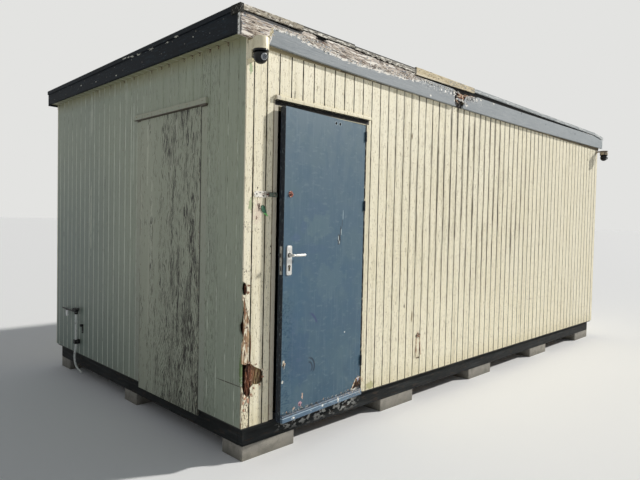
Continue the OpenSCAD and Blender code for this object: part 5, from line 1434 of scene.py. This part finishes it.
# Roof felt: green-grey mineral felt in three lengths, each lapped over the one below it and nailed.
felt_finish = start_finish("mineral_surfaced_roofing_felt")
felt_grit = patches(3, 0.3, 0.7, detail=3)
LAP_LINES = (-0.62, 0.36)
felt_colour = lay("#4A524E", [
    ("#5F6862", felt_grit),
    ("#636A62", (1100, 700, 400), 0.35, 0.70, 0.6),
    ("#747A70", (60, 1300, 60), 0.46, 0.74, 0.45, 3, 2),
    ("#3B423F", (420, 260, 260), 0.52, 0.74, 0.5, 5, 6),
    ("#6B734C", 16, 0.66, 0.70, 0.8, 3, 3),
])
for lap_line in LAP_LINES:
    edge = lap_line + 0.075
    felt_colour = lay(felt_colour, [
        ("#59625C", between(1, lap_line - 0.30, edge)),
        ("#5E6842", meet(
            between(1, edge, edge + 0.07), patches((34, 16, 16), 0.50, 0.56, detail=4, shift=8))),
        # A ragged near-black line just below each lap's edge is painted shadow.
        ("#1B1E1F", meet(
            between(1, edge - 0.004, edge + 0.013), patches((90, 40, 40), 0.30, 0.36, detail=3, shift=9))),
    ])
surface(felt_colour, 0.95, felt_grit, 0.6, Specular_IOR_Level=0.3)
dress("roof_felt")

felt_laps = []
lap_nails = []
for lap_y in LAP_LINES:
    lap = started(bpy.ops.mesh.primitive_grid_add, x_subdivisions=90, y_subdivisions=3, size=1)
    for corner in lap.data.vertices:
        x, share = corner.co.x * 6.13, corner.co.y + 0.5
        wave = 0.003 * math.sin(3.1 * x + 9 * lap_y) + 0.002 * math.sin(11 * x)
        y = lap_y + 0.075 * share + wave * share
        corner.co = (x, y, felt_top(y) + 0.0003 + 0.0022 * share + 0.0006 * share * math.sin(17 * x))
    thickened(lap, 0.0024)
    smooth(35)
    felt_laps.append(lap)
    for step in range(41):
        x = -3.0 + 0.15 * step
        lap_nails.append(shift(x, lap_y + 0.055, felt_top(lap_y + 0.055) + 0.0022))
finished(join(felt_laps), "felt_laps", felt_finish)
copied("felt_clout_nails", nail_pattern(), lap_nails, dark_collar)


# Cameras: dome cameras in cream die-cast housings, the left one on a wall box and the right one
# under a flat arm that has gone brown. A black ball turns in a ring under each.
camera_cream = start_finish("cream_enamel_on_die_cast_alloy")
right_hand = along(0, 2.0, 2.1)
surface(lay("#E6DEC2", [
    ("#CFC7A9", (40, 40, 60), 0.45, 0.7, 0.5),
    ("#A79C80", (6, 6, 40), 0.6, 0.68, 0.6),
    ("#B3A58C", right_hand),
    ("#7E6F60", meet(right_hand, along(2, 2.5505, 2.5515))),
    ("#6A5D50", meet(right_hand, patches(20, 0.5, 0.6))),
]), 0.42, patches(3, 0.35, 0.65), 0.05, Specular_IOR_Level=0.45)
dress("camera_brackets")
smoothed("camera_housings", 0.0015, camera_cream, angle=25)

camera_black = start_finish("gloss_black_polycarbonate")
surface(lay("#06070A", [
    ("#101216", 20, 0.5, 0.7, 0.6),
    ("#2E3134", 4, 0.68, 0.72),
]), 0.28, patches(2, 0.35, 0.65), 0.02, Specular_IOR_Level=0.3)


def camera_ball_pattern():
    """Ball about the origin, with the ring that it turns in above it and its lens barrel in front"""
    ball = started(bpy.ops.mesh.primitive_uv_sphere_add, segments=48, ring_count=24, radius=0.044)
    mode("EDIT")
    bpy.ops.mesh.bisect(plane_co=(0, 0, 0.037), plane_no=(0, 0, 1), use_fill=True, clear_outer=True)
    mode("OBJECT")
    ring = eased(disc(64, 0.047, 0.012), 0.0012, 40)
    ring.data.transform(shift(0, 0, 0.032))
    barrel = disc(48, 0.020, 0.020, (0.0030, 0.0), (0.0004, -0.0022))
    barrel.data.transform(LENS_TURN @ shift(0, 0, 0.0362))
    join([ball, ring, eased(barrel, 0.0006, 40)])
    smooth(30)
    return ball


LENS_TURN = Matrix.Rotation(math.radians(-11), 4, "Z") @ Matrix.Rotation(math.radians(104), 4, "X")
ball_middles = [Vector((-2.985, -1.647, 2.492)), Vector((2.985, -1.647, 2.475))]
balls = copied(
    "turned_camera_balls", camera_ball_pattern(), map(Matrix.Translation, ball_middles), camera_black)
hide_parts("camera_balls")

dome = started(bpy.ops.mesh.primitive_uv_sphere_add, segments=24, ring_count=12, radius=0.0105)
dome.data.transform(stretch(1, 1, 0.3))
bpy.ops.object.shade_smooth()
lens_places = [Matrix.Translation(middle) @ LENS_TURN @ shift(0, 0, 0.0440) for middle in ball_middles]
lens_glass = start_finish("coated_lens_glass")
surface(lay("#1A2230", [
    ("#39475C", 9, 0.5, 0.6),
]), 0.05, Coat_Weight=1.0, Coat_Roughness=0.02, Specular_IOR_Level=0.8)
copied("camera_lenses", dome, lens_places, lens_glass)
bezel_places = [
    Matrix.Translation(middle) @ LENS_TURN @ shift(0, 0, out) @ stretch(size, size, 1)
    for middle in ball_middles for size, out in ((1.0, 0.0465), (0.66, 0.0450))]
bezel_steel = start_finish("satin_grey_bezel")
surface(lay("#C8CCD0", [("#8B9096", 6, 0.5, 0.65)]), 0.4, Metallic=0.15)
copied("lens_bezels", ring_pattern(0.0196, 0.0166, 0.0024), bezel_places, bezel_steel)
box_screws = [at("front", x, -1.597, 2.496) for x in (-3.005, -2.965)]
copied("wall_box_screws", screw_pattern(0.0034), box_screws, dark_collar)


# Tap: a white plastic riser with a black valve and branch, a spout painted pure white as painted highlight,
# and black clips.
pipe_white = start_finish("weathered_white_plastic_pipe")
surface(lay("#E9ECE9", [
    ("#D2D8D4", (30, 30, 60), 0.45, 0.65, 0.7),
    ("#6E746E", (6, 6, 30), 0.6, 0.66, 1.0, 3),
    ("#70786C", along(2, 0.20, 0.08, most=0.6)),
    # The spout is pure white, whiter than the pipe, as painted highlight.
    ("#FFFFFF", along(1, 1.15, 1.16)),
]), 0.45, patches((4, 4, 20), 0.35, 0.65), 0.08)
smoothed("tap_pipework", 0.0, pipe_white, angle=35)
fitting_black = start_finish("black_moulded_fitting")
surface(lay("#0C0F0F", [
    ("#171C1C", 16, 0.5, 0.66, 0.7),
    ("#363B38", 5, 0.64, 0.68, 1.0, 3),
]), 0.55, patches(3, 0.35, 0.65), 0.08, Specular_IOR_Level=0.25)
smoothed("tap_body", 0.0012, fitting_black, angle=35)
dress("pipe_clips")

nut = eased(disc(6, 0.0175, 0.016), 0.0014)
smooth(35)
nut_places = [
    shift(-3.045, 0.975, 0.613),
    shift(-3.045, 1.028, 0.640) @ Matrix.Rotation(math.pi / 2, 4, "X"),
    shift(-3.045, 1.195, 0.622) @ stretch(0.8, 0.8, 0.6)]
copied("tap_nuts", nut, nut_places, fitting_black)
clip_screws = [at("left", -3.023, 0.888, z) for z in (0.452, 0.505)]
copied("hook_screws", screw_pattern(0.004), clip_screws, dull_zinc)


# Worn arrises: sawn and cast pieces have lost their sharp corners, by a little on planed wood and
# pressed metal and by more on the blocks.
for width, names in (
        (0.005, ("support_blocks", "long_bearers")),
        (0.0018, (
            "front_fascia", "back_fascia", "end_fascias", "front_edge_trim", "back_edge_trim",
            "end_edge_trims", "door_jambs", "door_head", "door_drip_trim", "door_sill",
            "blanked_door_trim", "eaves_battens", "door_weather_bar")),
        (0.0008, ("camera_brackets", "pipe_clips")),
        (0.0003, ("hasp_wall_leaf", "hasp_strap", "lock_forend"))):
    for name in names:
        nodes[name].modifiers.new("welded", "WELD").merge_threshold = 0.00002
        ease_modifier(nodes[name], width, 40)
        nodes[name].modifiers.new("evened", "WEIGHTED_NORMAL").weight = 100


# The floor and backdrop are plain and pale, and the light is soft, with its stronger part from
# the right of the front, high up.
floor = started(bpy.ops.mesh.primitive_circle_add, vertices=64, radius=400, fill_type="NGON")
floor.name = "studio_floor"
start_finish("plain_pale_floor")
surface(tint("#F3F4F5"), 0.9)
floor.data.materials.append(finish)

bpy.ops.object.light_add(type="SUN", rotation=Vector((1.9, -1.0, 1.22)).to_track_quat("Z", "Y").to_euler())
key = bpy.context.object
key.data.energy = 3.4
key.data.angle = math.radians(3)
key.data.color = (1.0, 0.97, 0.92)

# The surround is the material in hand for its own nodes: dim for the light on the object, and plain where it
# is seen itself, in reflections and through glass.
world = bpy.data.worlds.new("soft_surround")
bpy.context.scene.world = world
world.use_nodes = True
world.node_tree.nodes.clear()
finish = world
rays = ("Is Camera Ray", "Is Glossy Ray", "Is Transmission Ray")
seen = meet(*(add("ShaderNodeLightPath", {}, out=ray) for ray in rays), how="MAXIMUM")
dim = add("ShaderNodeBackground", {"Color": tint("#E8EDF2"), "Strength": 0.28})
plain = add("ShaderNodeBackground", {"Color": tint("#E3E3E1"), "Strength": 1.0})
add("ShaderNodeOutputWorld", {"Surface": add("ShaderNodeMixShader", {0: seen, 1: dim, 2: plain})})
bpy.context.scene.view_settings.view_transform = "Standard"
